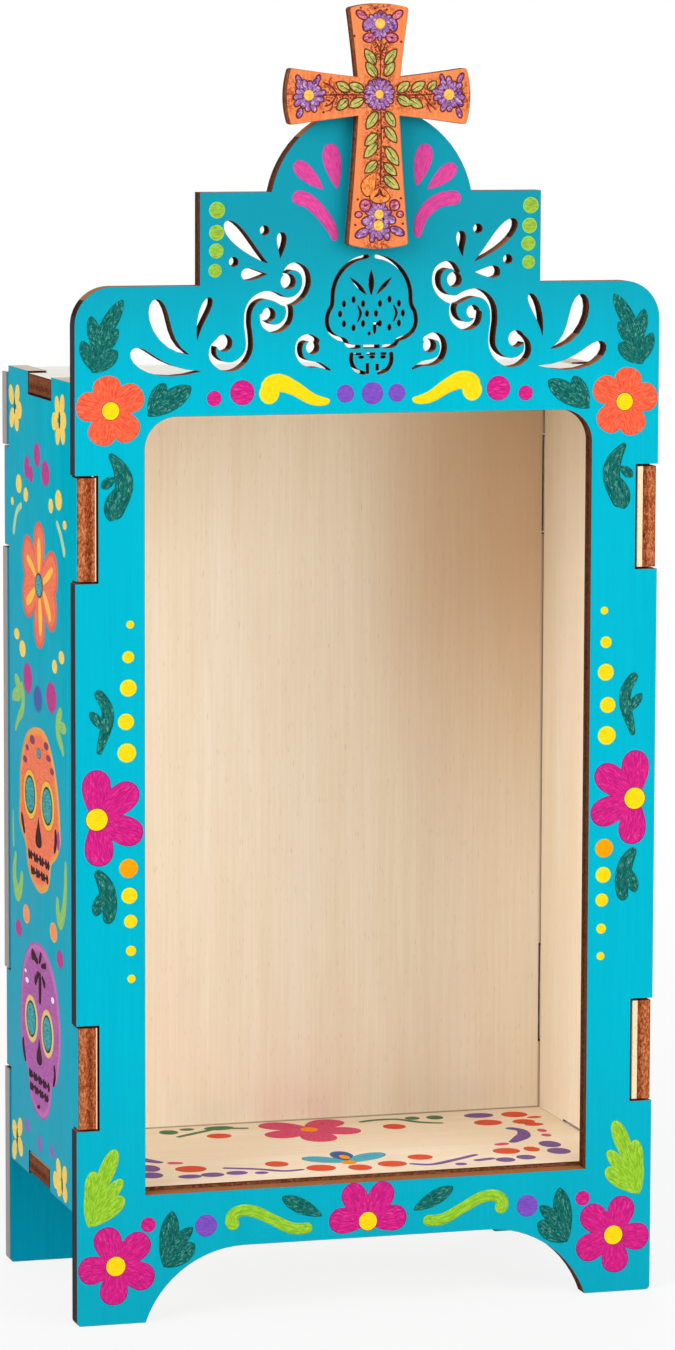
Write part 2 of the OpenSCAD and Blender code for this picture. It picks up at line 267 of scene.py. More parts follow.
# %% Grain
def wood_grain():
    tree, given, out = new_group(
        "wood grain", [("Place", "Vector", None)], [("Fibres", "Float"), ("Bands", "Float"), ("Pores", "Float")]
    )

    def squeezed(across, along, detail, rough=0.5):
        flat = add(tree, "VectorMath", {0: given["Place"], 1: (across, across, along)}, operation="MULTIPLY")
        looks = {"Vector": flat.outputs[0], "Scale": 1.0, "Detail": detail, "Roughness": rough}
        return add(tree, "TexNoise", looks).outputs[0]

    tree.links.new(span(tree, squeezed(1.7, 0.035, 3), 0.32, 0.68), out["Fibres"])
    tree.links.new(span(tree, squeezed(0.11, 0.009, 2), 0.3, 0.7), out["Bands"])
    tree.links.new(span(tree, squeezed(3.4, 0.30, 1), 0.66, 0.76), out["Pores"])
    return tree


GRAIN = wood_grain()
print("group:", GRAIN.name)

# %% [markdown]
# ## Burnt cut edges
# A laser browns the wood that it cuts. The edge shows the plies: end grain turns nearly black, long
# grain stays a lighter brown. Seen square on, as on the ends of the tabs, the char is speckled, and
# one outer ply may stay pale. The plies come from the depth in the sheet, the speckles from noise,
# and one value says how sooty the board is.

# %% Burnt edge
def burnt_edge():
    takes = [
        ("Place", "Vector", None),
        ("Depth", "Float", 0.0),
        ("Char", "Float", 0.5),
        ("Sheet", "Float", 4.8),
        ("Pale Ply", "Float", 0.0),
    ]
    tree, given, out = new_group("burnt edge", takes, [("Color", "Color"), ("Height", "Float")])
    swirl = add(tree, "TexNoise", {"Vector": given["Place"], "Scale": 0.8, "Detail": 2}).outputs[0]
    wavy = sum_of(tree, "MULTIPLY_ADD", sum_of(tree, "SUBTRACT", swirl, 0.5), 0.7, given["Depth"])
    ramp = add(tree, "ValToRGB", {0: sum_of(tree, "DIVIDE", wavy, given["Sheet"])}, label="plies")
    stops = ((0.0, 0.20), (0.05, 0.62), (0.30, 0.72), (0.42, 0.55), (0.58, 0.22), (0.72, 0.26), (0.80, 0.52),
             (0.93, 0.60), (1.0, 0.40))
    while len(ramp.color_ramp.elements) < len(stops):
        ramp.color_ramp.elements.new(0.5)
    for stop, (where, level) in zip(ramp.color_ramp.elements, stops):
        stop.position, stop.color = where, (level, level, level, 1)
    drawn = add(tree, "VectorMath", {0: given["Place"], 1: (1.0, 1.0, 0.45)}, operation="MULTIPLY").outputs[0]
    looks = {"Vector": drawn, "Scale": 2.3, "Detail": 3, "Roughness": 0.65, "Distortion": 0.7}
    speck = span(tree, add(tree, "TexNoise", looks).outputs[0], 0.36, 0.66)
    cloud = add(tree, "TexNoise", {"Vector": given["Place"], "Scale": 0.3, "Detail": 2}).outputs[0]
    light = sum_of(tree, "MULTIPLY_ADD", speck, 0.75, sum_of(tree, "MULTIPLY", ramp.outputs[0], 0.75))
    light = sum_of(tree, "MULTIPLY_ADD", cloud, 0.4, sum_of(tree, "SUBTRACT", light, 0.32))
    brown = blend(tree, span(tree, light, 0.0, 0.55), paint_chip(78, 30, 18), paint_chip(156, 74, 40))
    brown = blend(tree, span(tree, light, 0.55, 1.1), brown, paint_chip(214, 138, 88))
    char = blend(tree, span(tree, light, 0.1, 1.1), paint_chip(32, 20, 16), paint_chip(104, 64, 46))
    burnt = blend(tree, given["Char"], brown, char)
    pale = sum_of(tree, "GREATER_THAN", given["Depth"], sum_of(tree, "SUBTRACT", given["Sheet"], given["Pale Ply"]))
    pale = sum_of(tree, "MULTIPLY", pale, span(tree, speck, 0.0, 0.25, 0.7, 1.0))
    tree.links.new(blend(tree, pale, burnt, paint_chip(250, 220, 182)), out["Color"])
    tree.links.new(light, out["Height"])
    return tree


BURNT = burnt_edge()
print("group:", BURNT.name)

# %% [markdown]
# ## Scorched outlines
# Right beside each cut the heat leaves a thin brown line in the paint. Cycles' Bevel node finds such
# places: it rounds the surface direction near a sharp edge, and where that differs from the real
# direction the edge is close. The group turns that difference into a mask.

# %% Scorched outline
def scorched_outline():
    tree, given, out = new_group("scorched outline", [("Reach", "Float", 0.0003)], [("Scorch", "Float")])
    rounded = add(tree, "Bevel", {"Radius": given["Reach"]}, samples=6).outputs[0]
    flat = add(tree, "NewGeometry").outputs["True Normal"]
    same = add(tree, "VectorMath", {0: rounded, 1: flat}, operation="DOT_PRODUCT").outputs["Value"]
    tree.links.new(span(tree, same, 0.999, 0.90), out["Scorch"])
    return tree


SCORCH = scorched_outline()
print("group:", SCORCH.name)

# %% [markdown]
# ## A board's material
# All boards share one recipe. The outer side is paint or bare veneer, with the grain showing through
# as faint streaks; the inner side is bare inside the box; the edges are burnt. The bump comes from
# the same patterns, so the streaks catch the light, and the burnt edges are rougher than the sides.

# %% Skin, niche wall and cut edge
LONG_GRAIN = {"upright": (0, 0, 0), "lying": (0, math.pi / 2, 0)}


def bare_veneer(tree, grain):
    """Pale birch veneer: light and dark bands, fine fibres and a few pores."""
    colour = blend(tree, grain["Bands"], BARE_LIGHT, BARE_DARK)
    colour = blend(tree, sum_of(tree, "MULTIPLY", grain["Fibres"], 0.22), colour, paint_chip(232, 204, 170))
    return blend(tree, sum_of(tree, "MULTIPLY", grain["Pores"], 0.25), colour, paint_chip(176, 132, 92))


def painted_skin(tree, grain, place_mm, coat, coat_dark, deep=None, worn=None):
    """A coat of paint with the grain showing through. Towards the crest and the feet it turns to deep, which
    is painted shade. worn says where another colour mottles it."""
    across, back, up = add(tree, "SeparateXYZ", {0: place_mm}).outputs
    # painted shade: the coat darkens towards the crest and the feet
    if deep:
        far = sum_of(tree, "MAXIMUM", span(tree, up, 226, 276, smooth=True), span(tree, up, 70, 0, 0, 0.5))
        coat, coat_dark = (blend(tree, far, chip, deep) for chip in (coat, coat_dark))
    streaks = sum_of(tree, "MULTIPLY", grain["Fibres"], 0.55)
    streaks = sum_of(tree, "MULTIPLY_ADD", grain["Bands"], 0.40, streaks)
    skin = blend(tree, streaks, coat, coat_dark)
    skin = blend(tree, sum_of(tree, "MULTIPLY", grain["Pores"], 0.35), skin, coat_dark)
    if worn:
        looks = {"Vector": place_mm, "Scale": worn["scale"], "Detail": 4, "Roughness": 0.7}
        mottle = span(tree, add(tree, "TexNoise", looks).outputs[0], *worn["noise"])
        mottle = sum_of(tree, "MULTIPLY", mottle, worn["where"](tree, across, back, up))
        skin = blend(tree, mottle, skin, worn["chip"])
    return skin


def niche_wall(tree, colour, bare, across, up):
    """The back board's bare part: painted shade that darkens it towards the upper right, and dark joints beside and
    below.
    """
    line = sum_of(tree, "MAXIMUM", span(tree, across, INNER_X - 0.8, INNER_X - 0.2),
                  span(tree, up, FLOOR_TOP + 0.45, FLOOR_TOP + 0.1))
    # painted shade: darker towards the upper right of the bare inner face, where the right side and the top shade it
    painted_shade = sum_of(tree, "MULTIPLY", span(tree, across, 4, 60, smooth=True), span(tree, up, 80, 190, smooth=True))
    painted_shade = sum_of(tree, "MULTIPLY", sum_of(tree, "MULTIPLY", painted_shade, bare), 0.62)
    line = sum_of(tree, "MULTIPLY", sum_of(tree, "MULTIPLY", line, bare), 0.7)
    return blend(tree, line, blend(tree, painted_shade, colour, PAINTED_SHADE_BROWN), paint_chip(104, 70, 48))


def cut_edge(tree, burnt, side, scorch, outer_x, notches=None, outer_edge=None, top_edge=None):
    """The burnt edge. It is darker in the notches and beside the faces, and has its own colours at the outer
    ends. From some height on, its faces that look up get a lighter colour: painted light from above."""
    across, back, up = add(tree, "SeparateXYZ", {0: side["Place"]}).outputs
    edge = burnt
    if notches:
        edge = blend(tree, sum_of(tree, "MULTIPLY", notches(tree, across, back), 0.75), edge, paint_chip(26, 18, 18))
    if outer_edge:
        out = sum_of(tree, "GREATER_THAN", sum_of(tree, "ABSOLUTE", across), outer_x - 0.3)
        edge = blend(tree, sum_of(tree, "MULTIPLY", out, 0.85), edge, outer_edge)
    if top_edge:
        # painted light: cut faces that look up are lighter, as if lit from above
        chip, lowest = top_edge
        facing_up = sum_of(tree, "GREATER_THAN", add(tree, "SeparateXYZ", {0: side["Facing"]}).outputs[2], 0.7)
        on_top = sum_of(tree, "MULTIPLY", facing_up, sum_of(tree, "GREATER_THAN", up, lowest))
        edge = blend(tree, sum_of(tree, "MULTIPLY", on_top, 0.9), edge, chip)
    return blend(tree, sum_of(tree, "MULTIPLY", scorch, 0.55), edge, paint_chip(26, 18, 16))


# %% Board material
def board_material(name, node, way_out, coat=None, coat_dark=None, inside=False, grain="upright", char=0.5,
                   shine=PAINT_SHINE, pale_ply=0.0, deep=None, worn=None, outline=0.0003, **edges):
    """One material for a whole board. coat is its paint on the outer side, and inside tells that part
    of the inner side is painted too. edges are cut_edge's own colours."""
    low, high = (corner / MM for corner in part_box(node))
    outer_side = max(Vector(way_out).dot(low), Vector(way_out).dot(high))
    material = bpy.data.materials.new(name)
    material.use_nodes = True
    tree = material.node_tree
    side = place(tree, SIDES, {"Way Out": way_out, "Outer Side": outer_side})
    across, _, up = add(tree, "SeparateXYZ", {0: side["Place"]}).outputs
    turned = add(tree, "Mapping", {"Vector": side["Place"], "Rotation": LONG_GRAIN[grain]}).outputs[0]
    fibres = place(tree, GRAIN, {"Place": turned})
    colour = bare_veneer(tree, fibres)
    if coat:
        painted = side["Outer"]
        if inside:
            painted = sum_of(tree, "MULTIPLY_ADD", side["Inner"], outside_niche(tree, across, up), painted)
        skin = painted_skin(tree, fibres, side["Place"], coat, coat_dark, deep, worn)
        colour = blend(tree, painted, colour, skin)
    if inside == "niche":
        bare = sum_of(tree, "SUBTRACT", side["Inner"], painted, clamp=True)
        colour = niche_wall(tree, colour, bare, across, up)
    scorch = place(tree, SCORCH, {"Reach": outline})["Scorch"]
    colour = blend(tree, sum_of(tree, "MULTIPLY", scorch, 0.62), colour, paint_chip(84, 52, 40))
    burnt = place(tree, BURNT, {"Place": turned, "Depth": side["Depth"], "Char": char, "Pale Ply": pale_ply})
    colour = blend(tree, side["Cut"], colour, cut_edge(tree, burnt["Color"], side, scorch, high.x, **edges))
    height = sum_of(tree, "MULTIPLY_ADD", burnt["Height"], side["Cut"], sum_of(tree, "MULTIPLY", fibres["Fibres"], 0.5))
    rough = span(tree, side["Cut"], 0, 1, 0.5, 0.85)
    bump = add(tree, "Bump", {"Height": height, "Strength": 0.35, "Distance": 0.00008})
    shader = tree.nodes["Principled BSDF"]
    shader.inputs["Specular IOR Level"].default_value = shine
    for socket, value in (("Base Color", colour), ("Roughness", rough), ("Normal", bump.outputs[0])):
        tree.links.new(value, shader.inputs[socket])
    boards[node].data.materials.clear()
    boards[node].data.materials.append(material)


# %% Where a board is painted, cut or worn
INNER_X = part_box("right_side")[0].x / MM  # the niche ends here at the sides, in millimetres
NICHE_LOW, NICHE_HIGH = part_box("floor_panel")[0].z / MM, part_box("top_panel")[1].z / MM
FLOOR_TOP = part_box("floor_panel")[1].z / MM


def outside_niche(tree, across, up):
    """1 where an inner side lies beside, under or over the niche, and so is painted."""
    beside = sum_of(tree, "GREATER_THAN", sum_of(tree, "ABSOLUTE", across), INNER_X)
    under = sum_of(tree, "MAXIMUM", beside, sum_of(tree, "LESS_THAN", up, NICHE_LOW))
    return sum_of(tree, "MAXIMUM", under, sum_of(tree, "GREATER_THAN", up, NICHE_HIGH))


def outer_notches(tree, across, back):
    """1 in the notches of the front and the back board."""
    return sum_of(tree, "GREATER_THAN", sum_of(tree, "ABSOLUTE", across), INNER_X - 0.8)


TAB_ENDS = 36.5  # the ends of a side board's tabs lie further from the middle than this, in mm


def inner_cuts(tree, across, back):
    """1 on a side board's cut edges, except on the ends of its tabs."""
    return sum_of(tree, "LESS_THAN", sum_of(tree, "ABSOLUTE", back), TAB_ENDS)


def towards_the_rear(tree, across, back, up):
    """Grows from 0 at the front top to 1 at the rear bottom of a side board."""
    low = span(tree, up, 200, 100, 0, 0.5, smooth=True)
    return sum_of(tree, "ADD", low, span(tree, back, -30, 36, 0, 0.5))


POST_X, ARM_Z = 0.5, 303  # the middle lines of the cross's post and arms, in mm


def near_the_middle(tree, across, back, up):
    """1 along the middle lines of the cross's arms, and 0 at its edges."""
    from_post = span(tree, sum_of(tree, "ABSOLUTE", sum_of(tree, "SUBTRACT", across, POST_X)), 5.2, 2.0)
    from_arm = span(tree, sum_of(tree, "ABSOLUTE", sum_of(tree, "SUBTRACT", up, ARM_Z)), 5.0, 2.2)
    return sum_of(tree, "MAXIMUM", from_post, from_arm)


# %% Finish the boards
# the second colour here is painted shade for the front board's crest and feet
SEA, CREST_AND_FOOT_SHADE = paint_chip(0, 170, 194), paint_chip(18, 146, 166)
# the two lighter cut colours here are painted light for cut faces that look up
GREYED, PAINTED_LIGHT_BROWN, PAINTED_LIGHT_PALE = paint_chip(54, 54, 62), paint_chip(170, 112, 70), paint_chip(244, 228, 208)
board_material("front_turquoise", "front_panel", (0, -1, 0), TURQUOISE, SEA, True, char=0.95,
               top_edge=(PAINTED_LIGHT_BROWN, 0), deep=CREST_AND_FOOT_SHADE, outer_edge=GREYED, notches=outer_notches)
# the back board's coat is a darker copy of the turquoise: painted shade for its face under the floor, used on the whole
# board
board_material("back_turquoise", "back_panel", (0, 1, 0), paint_chip(0, 160, 190), paint_chip(0, 148, 180), "niche",
               char=0.6, top_edge=(PAINTED_LIGHT_PALE, 229), outer_edge=paint_chip(176, 170, 164), notches=outer_notches)
SIDE_BLUE, SIDE_SEA = paint_chip(4, 182, 202), paint_chip(0, 160, 184)
HAZE = {"scale": 0.06, "noise": (0.25, 0.6, 0.35, 1.0), "where": towards_the_rear, "chip": paint_chip(70, 160, 184)}
for node, way_out, pale_ply in (("left_side", (-1, 0, 0), 0.3), ("right_side", (1, 0, 0), 1.35)):
    board_material(node.replace("side", "turquoise"), node, way_out, SIDE_BLUE, SIDE_SEA, char=0.05, shine=0.0,
                   top_edge=(PAINTED_LIGHT_PALE, 229), pale_ply=pale_ply, worn=HAZE, notches=inner_cuts)
# the top side's whiter coat is painted light: a lit copy of the bare veneer
board_material("top_veneer", "top_panel", (0, 0, 1), paint_chip(255, 252, 246), paint_chip(250, 242, 228),
               grain="lying", char=0.7, outline=0.0006)
board_material("floor_veneer", "floor_panel", (0, 0, 1), grain="lying", char=0.7, outline=0.0006)
ORANGE, RUST = paint_chip(242, 144, 88), paint_chip(222, 116, 66)
STIPPLE = {"scale": 1.4, "noise": (0.47, 0.55, 0, 0.9), "where": near_the_middle, "chip": paint_chip(150, 64, 38)}
board_material("cross_orange", "cross", (0, -1, 0), ORANGE, RUST, True, char=0.6, worn=STIPPLE)
print("finished", len(boards), "boards")

# %% [markdown]
# ## Hand paint
# The ornaments lie over the turquoise like the marks of small brushes or markers. Every mark keeps
# the streaks of its stroke, and most have a thin line or a paler band at their rim. A mark carries a
# UV map, in millimetres along and across the stroke, and a value named rim that grows from 0 at its
# edge to 1 inside. The group turns these into a colour.

# %% Brushed paint
PLAIN_STROKES = (0.55, 3.1, 1.0)  # how fine the streaks are along and across a stroke


def brushed_paint():
    takes = [("Body", "Color", None), ("Streak", "Color", None), ("Rim", "Color", None), ("Line", "Color", None)]
    takes += [("Streaks", "Float", 0.6), ("Rim Width", "Float", 0.3), ("Line Width", "Float", 0.1)]
    takes.append(("Strokes", "Vector", PLAIN_STROKES))
    tree, given, out = new_group("brushed paint", takes, [("Color", "Color"), ("Height", "Float")])
    stroke = add(tree, "UVMap", uv_map="stroke").outputs[0]
    pulled = add(tree, "VectorMath", {0: stroke, 1: given["Strokes"]}, operation="MULTIPLY").outputs[0]
    lines = add(tree, "TexNoise", {"Vector": pulled, "Scale": 1.0, "Detail": 4, "Distortion": 1.1}).outputs[0]
    blot = add(tree, "TexNoise", {"Vector": stroke, "Scale": 0.6, "Detail": 2}).outputs[0]
    dark = sum_of(tree, "MULTIPLY", span(tree, lines, 0.48, 0.64), given["Streaks"])
    pale = sum_of(tree, "MULTIPLY", span(tree, lines, 0.44, 0.32), given["Streaks"])
    body = blend(tree, dark, given["Body"], given["Streak"])
    body = blend(tree, sum_of(tree, "MULTIPLY", pale, 0.6), body, given["Rim"])
    inward = add(tree, "Attribute", attribute_name="rim").outputs["Fac"]
    wavy = sum_of(tree, "MULTIPLY_ADD", sum_of(tree, "SUBTRACT", blot, 0.5), 0.25, inward)
    rim = span(tree, wavy, given["Rim Width"], sum_of(tree, "MULTIPLY", given["Rim Width"], 0.5))
    rim = sum_of(tree, "MULTIPLY", rim, sum_of(tree, "GREATER_THAN", given["Rim Width"], 0.001))
    line = sum_of(tree, "LESS_THAN", inward, given["Line Width"])
    ringed = blend(tree, rim, body, given["Rim"])
    tree.links.new(blend(tree, line, ringed, given["Line"]), out["Color"])
    tree.links.new(lines, out["Height"])
    return tree


BRUSHED = brushed_paint()


PAINTS = {}


def hand_paint(name, body, streak, rim=None, line=None, streaks=0.6, rim_width=0.0, line_width=0.0,
               strokes=PLAIN_STROKES):
    """A paint with a body colour, darker streaks, a paler rim, and a thin line round each mark.
    strokes says how fine the streaks are along and across the stroke."""
    material = bpy.data.materials.new(name)
    material.use_nodes = True
    tree = material.node_tree
    names = ("Body", "Streak", "Rim", "Line")
    looks = {label: paint_chip(*chip) for label, chip in zip(names, (body, streak, rim or body, line or body))}
    looks |= {"Streaks": streaks, "Rim Width": rim_width, "Line Width": line_width, "Strokes": strokes}
    made = place(tree, BRUSHED, looks)
    bump = add(tree, "Bump", {"Height": made["Height"], "Strength": 0.25, "Distance": 0.00004})
    shader = tree.nodes["Principled BSDF"]
    shader.inputs["Roughness"].default_value = 0.6
    shader.inputs["Specular IOR Level"].default_value = PAINT_SHINE
    tree.links.new(made["Color"], shader.inputs["Base Color"])
    tree.links.new(bump.outputs[0], shader.inputs["Normal"])
    PAINTS[name] = material


print("group:", BRUSHED.name)

# %% [markdown]
# ## Blank marks
# Two blanks serve for all ornaments. The dab is a round disc of radius 1 with soft rings towards its
# rim: squashed, tapered and bent it becomes a dot, petal, leaf or seed. The ribbon is a straight strip
# from -1 to 1 that follows a line for stems, scrolls and commas. Both are closed solids, so that paint
# has a real, if tiny, thickness, and both carry the stroke map and the rim value.

# %% Two blanks
PAINT_LIFT, PAINT_SINK = 0.04, 0.03  # how far paint stands on the board and reaches into it, in mm


def keep_blank(bm, name, rim_of):
    """Stores a blank with its stroke map and rim value; its height runs from -1 to 1."""
    stroke, rim = bm.loops.layers.uv.new("stroke"), bm.verts.layers.float.new("rim")
    for v in bm.verts:
        v[rim] = rim_of(v.co) if v.co.z > 0 else 0.0
        v.co.z = -1.0 if v.co.z < 0 else 0.35 + 0.65 * min(1.0, v[rim] * 2.5)
        for corner in v.link_loops:
            corner[stroke].uv = v.co.xy
    mesh = bpy.data.meshes.new(name)
    bm.to_mesh(mesh)
    bm.free()
    return mesh


def dab_blank(sides):
    bm = bmesh.new()
    bmesh.ops.create_cone(bm, cap_ends=True, segments=sides, radius1=1, radius2=1, depth=1)
    top = max(bm.faces, key=lambda f: f.calc_center_median().z)
    for inset in (0.08, 0.12, 0.20, 0.25):
        bmesh.ops.inset_region(bm, faces=[top], thickness=inset, use_even_offset=True)
    return keep_blank(bm, "dab_blank", lambda p: min(1.0, (1 - p.xy.length) / 0.4))


def ribbon_blank(steps):
    bm = bmesh.new()
    bmesh.ops.create_grid(bm, x_segments=steps, y_segments=6, size=1)
    raised = bmesh.ops.extrude_face_region(bm, geom=bm.faces[:])
    for v in bm.verts:
        v.co.z = -0.5
    for part in raised["geom"]:
        if isinstance(part, bmesh.types.BMVert):
            part.co.z = 0.5
    bmesh.ops.recalc_face_normals(bm, faces=bm.faces)

    # an extrusion leaves its parts in another order in each run, so they are sorted by their place
    def place_key(spot):
        return 1000 * spot.x + 10 * spot.y + spot.z

    bm.verts.sort(key=lambda v: place_key(v.co))
    bm.edges.sort(key=lambda e: place_key((e.verts[0].co + e.verts[1].co) / 2))
    bm.faces.sort(key=lambda f: place_key(f.calc_center_median()))
    return keep_blank(bm, "ribbon_blank", lambda p: min(1.0, (1 - abs(p.y)) / 0.4, (1 - abs(p.x)) / 0.1))


DAB, BIG_DAB, RIBBON = dab_blank(24), dab_blank(56), ribbon_blank(30)
print("blanks:", [(m.name, len(m.polygons)) for m in (DAB, BIG_DAB, RIBBON)])

# %% [markdown]
# ## A drawing
# A drawing is one colour's marks on one board, laid out flat in millimetres, and it becomes one piece.
# A copy of a blank is added for each mark, and a rule moves its points to their places. Marks that
# overlap get slightly different heights, as real strokes do, and a second coat lies above the first.

# %% The drawing
class Drawing:
    """Marks of one paint. Positions are in millimetres: x to the right and y up, seen on the board."""

    def __init__(self, coat=0):
        self.bm = bmesh.new()
        self.bm.loops.layers.uv.new("stroke")
        self.bm.verts.layers.float.new("rim")
        self.coat, self.marks = coat, 0

    def lay(self, blank, rule, scale):
        """Adds one mark. rule moves a blank's (x, y) to its place; scale is its length and width in mm."""
        before = len(self.bm.verts)
        self.bm.from_mesh(blank)
        self.bm.verts.ensure_lookup_table()
        stroke = self.bm.loops.layers.uv["stroke"]
        self.marks += 1
        base = self.coat * PAINT_LIFT + 0.003 * (self.marks % 9)
        for v in self.bm.verts[before:]:
            for corner in v.link_loops:
                corner[stroke].uv = (v.co.x * scale[0] / 2 + 7.3 * self.marks, v.co.y * scale[1] / 2)
            height = base + PAINT_LIFT * v.co.z if v.co.z > 0 else -PAINT_SINK
            v.co = (*rule(v.co.x, v.co.y), height)

    def petal(self, tail, tip, width, egg=0.3, bend=0.0, sharp=(0.0, 0.0)):
        """A dab from tail to tip. egg makes the tip's end fuller; sharp points the tail and the tip."""
        tail, tip = Vector(tail), Vector(tip)
        along = tip - tail
        across = Vector((-along.y, along.x)).normalized()

        def swell(t):
            return (1 + egg * (2 * t - 1)) * max(t, 0.0) ** sharp[0] * max(1 - t, 0.0) ** sharp[1]

        fullest = max(math.sqrt(1 - (2 * t - 1) ** 2) * swell(t) for t in (k / 40 for k in range(41)))

        def rule(x, y):
            t = (x + 1) / 2
            spot = tail + along * t + across * (y * swell(t) / fullest * width / 2 + bend * 4 * t * (1 - t))
            return spot.x, spot.y

        self.lay(DAB, rule, (along.length, width))
        return self

    def dot(self, x, y, radius):
        """A round dot."""
        return self.petal((x - radius, y), (x + radius, y), 2 * radius, egg=0)

    def oval(self, x, y, long, wide, turn=0.0):
        """An oval whose long side is turned from the horizontal, in degrees."""
        half = Vector((math.cos(math.radians(turn)), math.sin(math.radians(turn)))) * long / 2
        middle = Vector((x, y))
        return self.petal(middle - half, middle + half, wide, egg=0)

    def stroke(self, *nodes):
        """A brush stroke through nodes of (x, y, width), with round ends."""
        line = smooth_line(nodes)
        steps = np.concatenate([[0], np.cumsum(np.hypot(*np.diff(line[:, :2], axis=0).T))])
        length = steps[-1]
        slope = np.gradient(line[:, :2], axis=0)
        slope /= np.hypot(*slope.T)[:, None]

        def rule(x, y):
            run = (1 - math.cos(math.pi * (x + 1) / 2)) / 2 * length
            px, py, width, sx, sy = (np.interp(run, steps, c) for c in (*line.T, *slope.T))
            cap = min(1.0, min(run, length - run) / (width / 2))
            side = y * width / 2 * math.sqrt(max(0.02, 1 - (1 - cap) ** 2))
            return px - sy * side, py + sx * side

        self.lay(RIBBON, rule, (length, float(line[:, 2].mean())))
        return self

    def shape(self, middle, outline):
        """A dab whose rim follows an outline of (x, y) points round middle."""
        ring = smooth_line([*outline[-3:], *outline, *outline[:3]])[:, :2] - np.array(middle)
        angle, reach = np.unwrap(np.arctan2(ring[:, 1], ring[:, 0])), np.hypot(*ring.T)
        angle, reach = (angle, reach) if angle[-1] > angle[0] else (angle[::-1], reach[::-1])

        def rule(x, y):
            turn = math.atan2(y, x)
            turn += math.tau * math.ceil((angle[0] - turn) / math.tau)
            far = np.interp(turn, angle, reach) * math.hypot(x, y)
            return middle[0] + far * math.cos(turn), middle[1] + far * math.sin(turn)

        self.lay(BIG_DAB, rule, (2 * float(reach.max()),) * 2)
        return self


def smooth_line(nodes, steps=8):
    """Catmull-Rom points through the nodes, with as many values as a node has."""
    p = np.array([nodes[0], *nodes, nodes[-1]], float)
    t = np.linspace(0, 1, steps, endpoint=False)[:, None]
    parts = [
        0.5 * (2 * b + (c - a) * t + (2 * a - 5 * b + 4 * c - d) * t**2 + (3 * b - a - 3 * c + d) * t**3)
        for a, b, c, d in zip(p, p[1:], p[2:], p[3:])
    ]
    return np.vstack([*parts, p[-1]])


# %% Laying a drawing on a board
# Side and floor drawings count from a line 36.6 mm behind the front board's face. This is its y, in mm.
MIDDLE = 36.6 - FRONT
SHEET = {node: [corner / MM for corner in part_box(node)] for node in ("cross", "right_side", "floor_panel")}
FACES = {
    "front": Matrix(((1, 0, 0, 0), (0, 0, -1, -FRONT), (0, 1, 0, 0), (0, 0, 0, 1))),
    "cross": Matrix(((1, 0, 0, 0), (0, 0, -1, SHEET["cross"][0].y), (0, 1, 0, 0), (0, 0, 0, 1))),
    "side": Matrix(((0, 0, 1, SHEET["right_side"][1].x), (1, 0, 0, MIDDLE), (0, 1, 0, 0), (0, 0, 0, 1))),
    "floor": Matrix(((1, 0, 0, 0), (0, 1, 0, MIDDLE), (0, 0, 1, SHEET["floor_panel"][1].z), (0, 0, 0, 1))),
}


def scatter(marks, *ovals):
    """Adds ovals of (x, y, length along x, width along y) to a drawing."""
    for x, y, long, wide in ovals:
        marks.oval(x, y, long, wide)
    return marks


def mirrored(bm):
    """A copy of a drawing, mirrored in the plane x = 0, with its faces turned outward again."""
    twin = bm.copy()
    bmesh.ops.scale(twin, vec=(-1, 1, 1), verts=twin.verts)
    bmesh.ops.reverse_faces(twin, faces=twin.faces)
    return twin


def hang(drawing, name, face, paint, twin=None):
    """Puts a drawing on a face as one piece. twin="here" adds its mirror image to the same board."""
    bm = drawing.bm
    if twin == "here":
        other = mirrored(bm)
        spare = bpy.data.meshes.new("spare")
        other.to_mesh(spare)
        other.free()
        bm.from_mesh(spare)
        bpy.data.meshes.remove(spare)
    bmesh.ops.transform(bm, matrix=Matrix.Scale(MM, 4) @ FACES[face], verts=bm.verts)
    if face == "side":
        keep_piece(mirrored(bm), name + "_left", paint)
        name += "_right"
    keep_piece(bm, name, paint)


def keep_piece(bm, name, paint):
    """Turns a finished drawing into a smooth-shaded piece that rides on the box."""
    mesh = bpy.data.meshes.new(name)
    bm.to_mesh(mesh)
    bm.free()
    mesh.polygons.foreach_set("use_smooth", [True] * len(mesh.polygons))
    mesh.materials.append(PAINTS[paint])
    piece = bpy.data.objects.new(name, mesh)
    bpy.context.scene.collection.objects.link(piece)
    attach(piece, "root")
    print(f"{name}: {len(mesh.polygons)} faces")


# %% [markdown]
# ## The front board's ornament
# The pattern is nearly a mirror image of itself, so its left half is drawn and then mirrored. Numbers
# are millimetres: x from the middle, y from the ground. Leaves and petals run from their tail to
# their tip, and the marks of one colour make one piece.

# %% The paints of the front board
for row in (
    ("leaf_green", (22, 106, 98), (8, 76, 76), (116, 186, 160), (10, 92, 92), 1.0, 0.0, 0.12, (0.9, 2.6, 1.0)),
    ("coral", (242, 98, 64), (214, 70, 56), (250, 142, 104), (226, 96, 84), 0.9, 0.0, 0.10),
    ("magenta", (210, 32, 128), (172, 28, 116), (234, 88, 158), (146, 44, 132), 0.9, 0.0, 0.12),
    ("yellow", (252, 212, 20), (246, 184, 20), (222, 226, 84), (196, 210, 70), 0.4, 0.45, 0.1),
    ("heart_yellow", (252, 212, 20), (246, 184, 20), (255, 228, 90), (150, 52, 44), 0.4, 0.3, 0.16),
    ("amber", (254, 160, 4), (240, 136, 12), (246, 176, 60), (214, 160, 60), 0.5, 0.3, 0.1),
    ("purple", (124, 80, 186), (100, 64, 168), (150, 104, 206), (92, 92, 190), 0.7, 0.0, 0.12),
    ("lime", (150, 200, 48), (104, 160, 42), (196, 226, 96), (110, 180, 90), 0.85, 0.2, 0.1),
    ("moss", (144, 192, 62), (136, 132, 52), (164, 212, 96), (90, 190, 130), 0.85, 0.35, 0.1),
    ("fan_pink", (216, 70, 146), (176, 62, 140), (236, 98, 164), (150, 100, 170), 0.8, 0.0, 0.12),
):
    hand_paint(*row)
print(len(PAINTS), "paints")

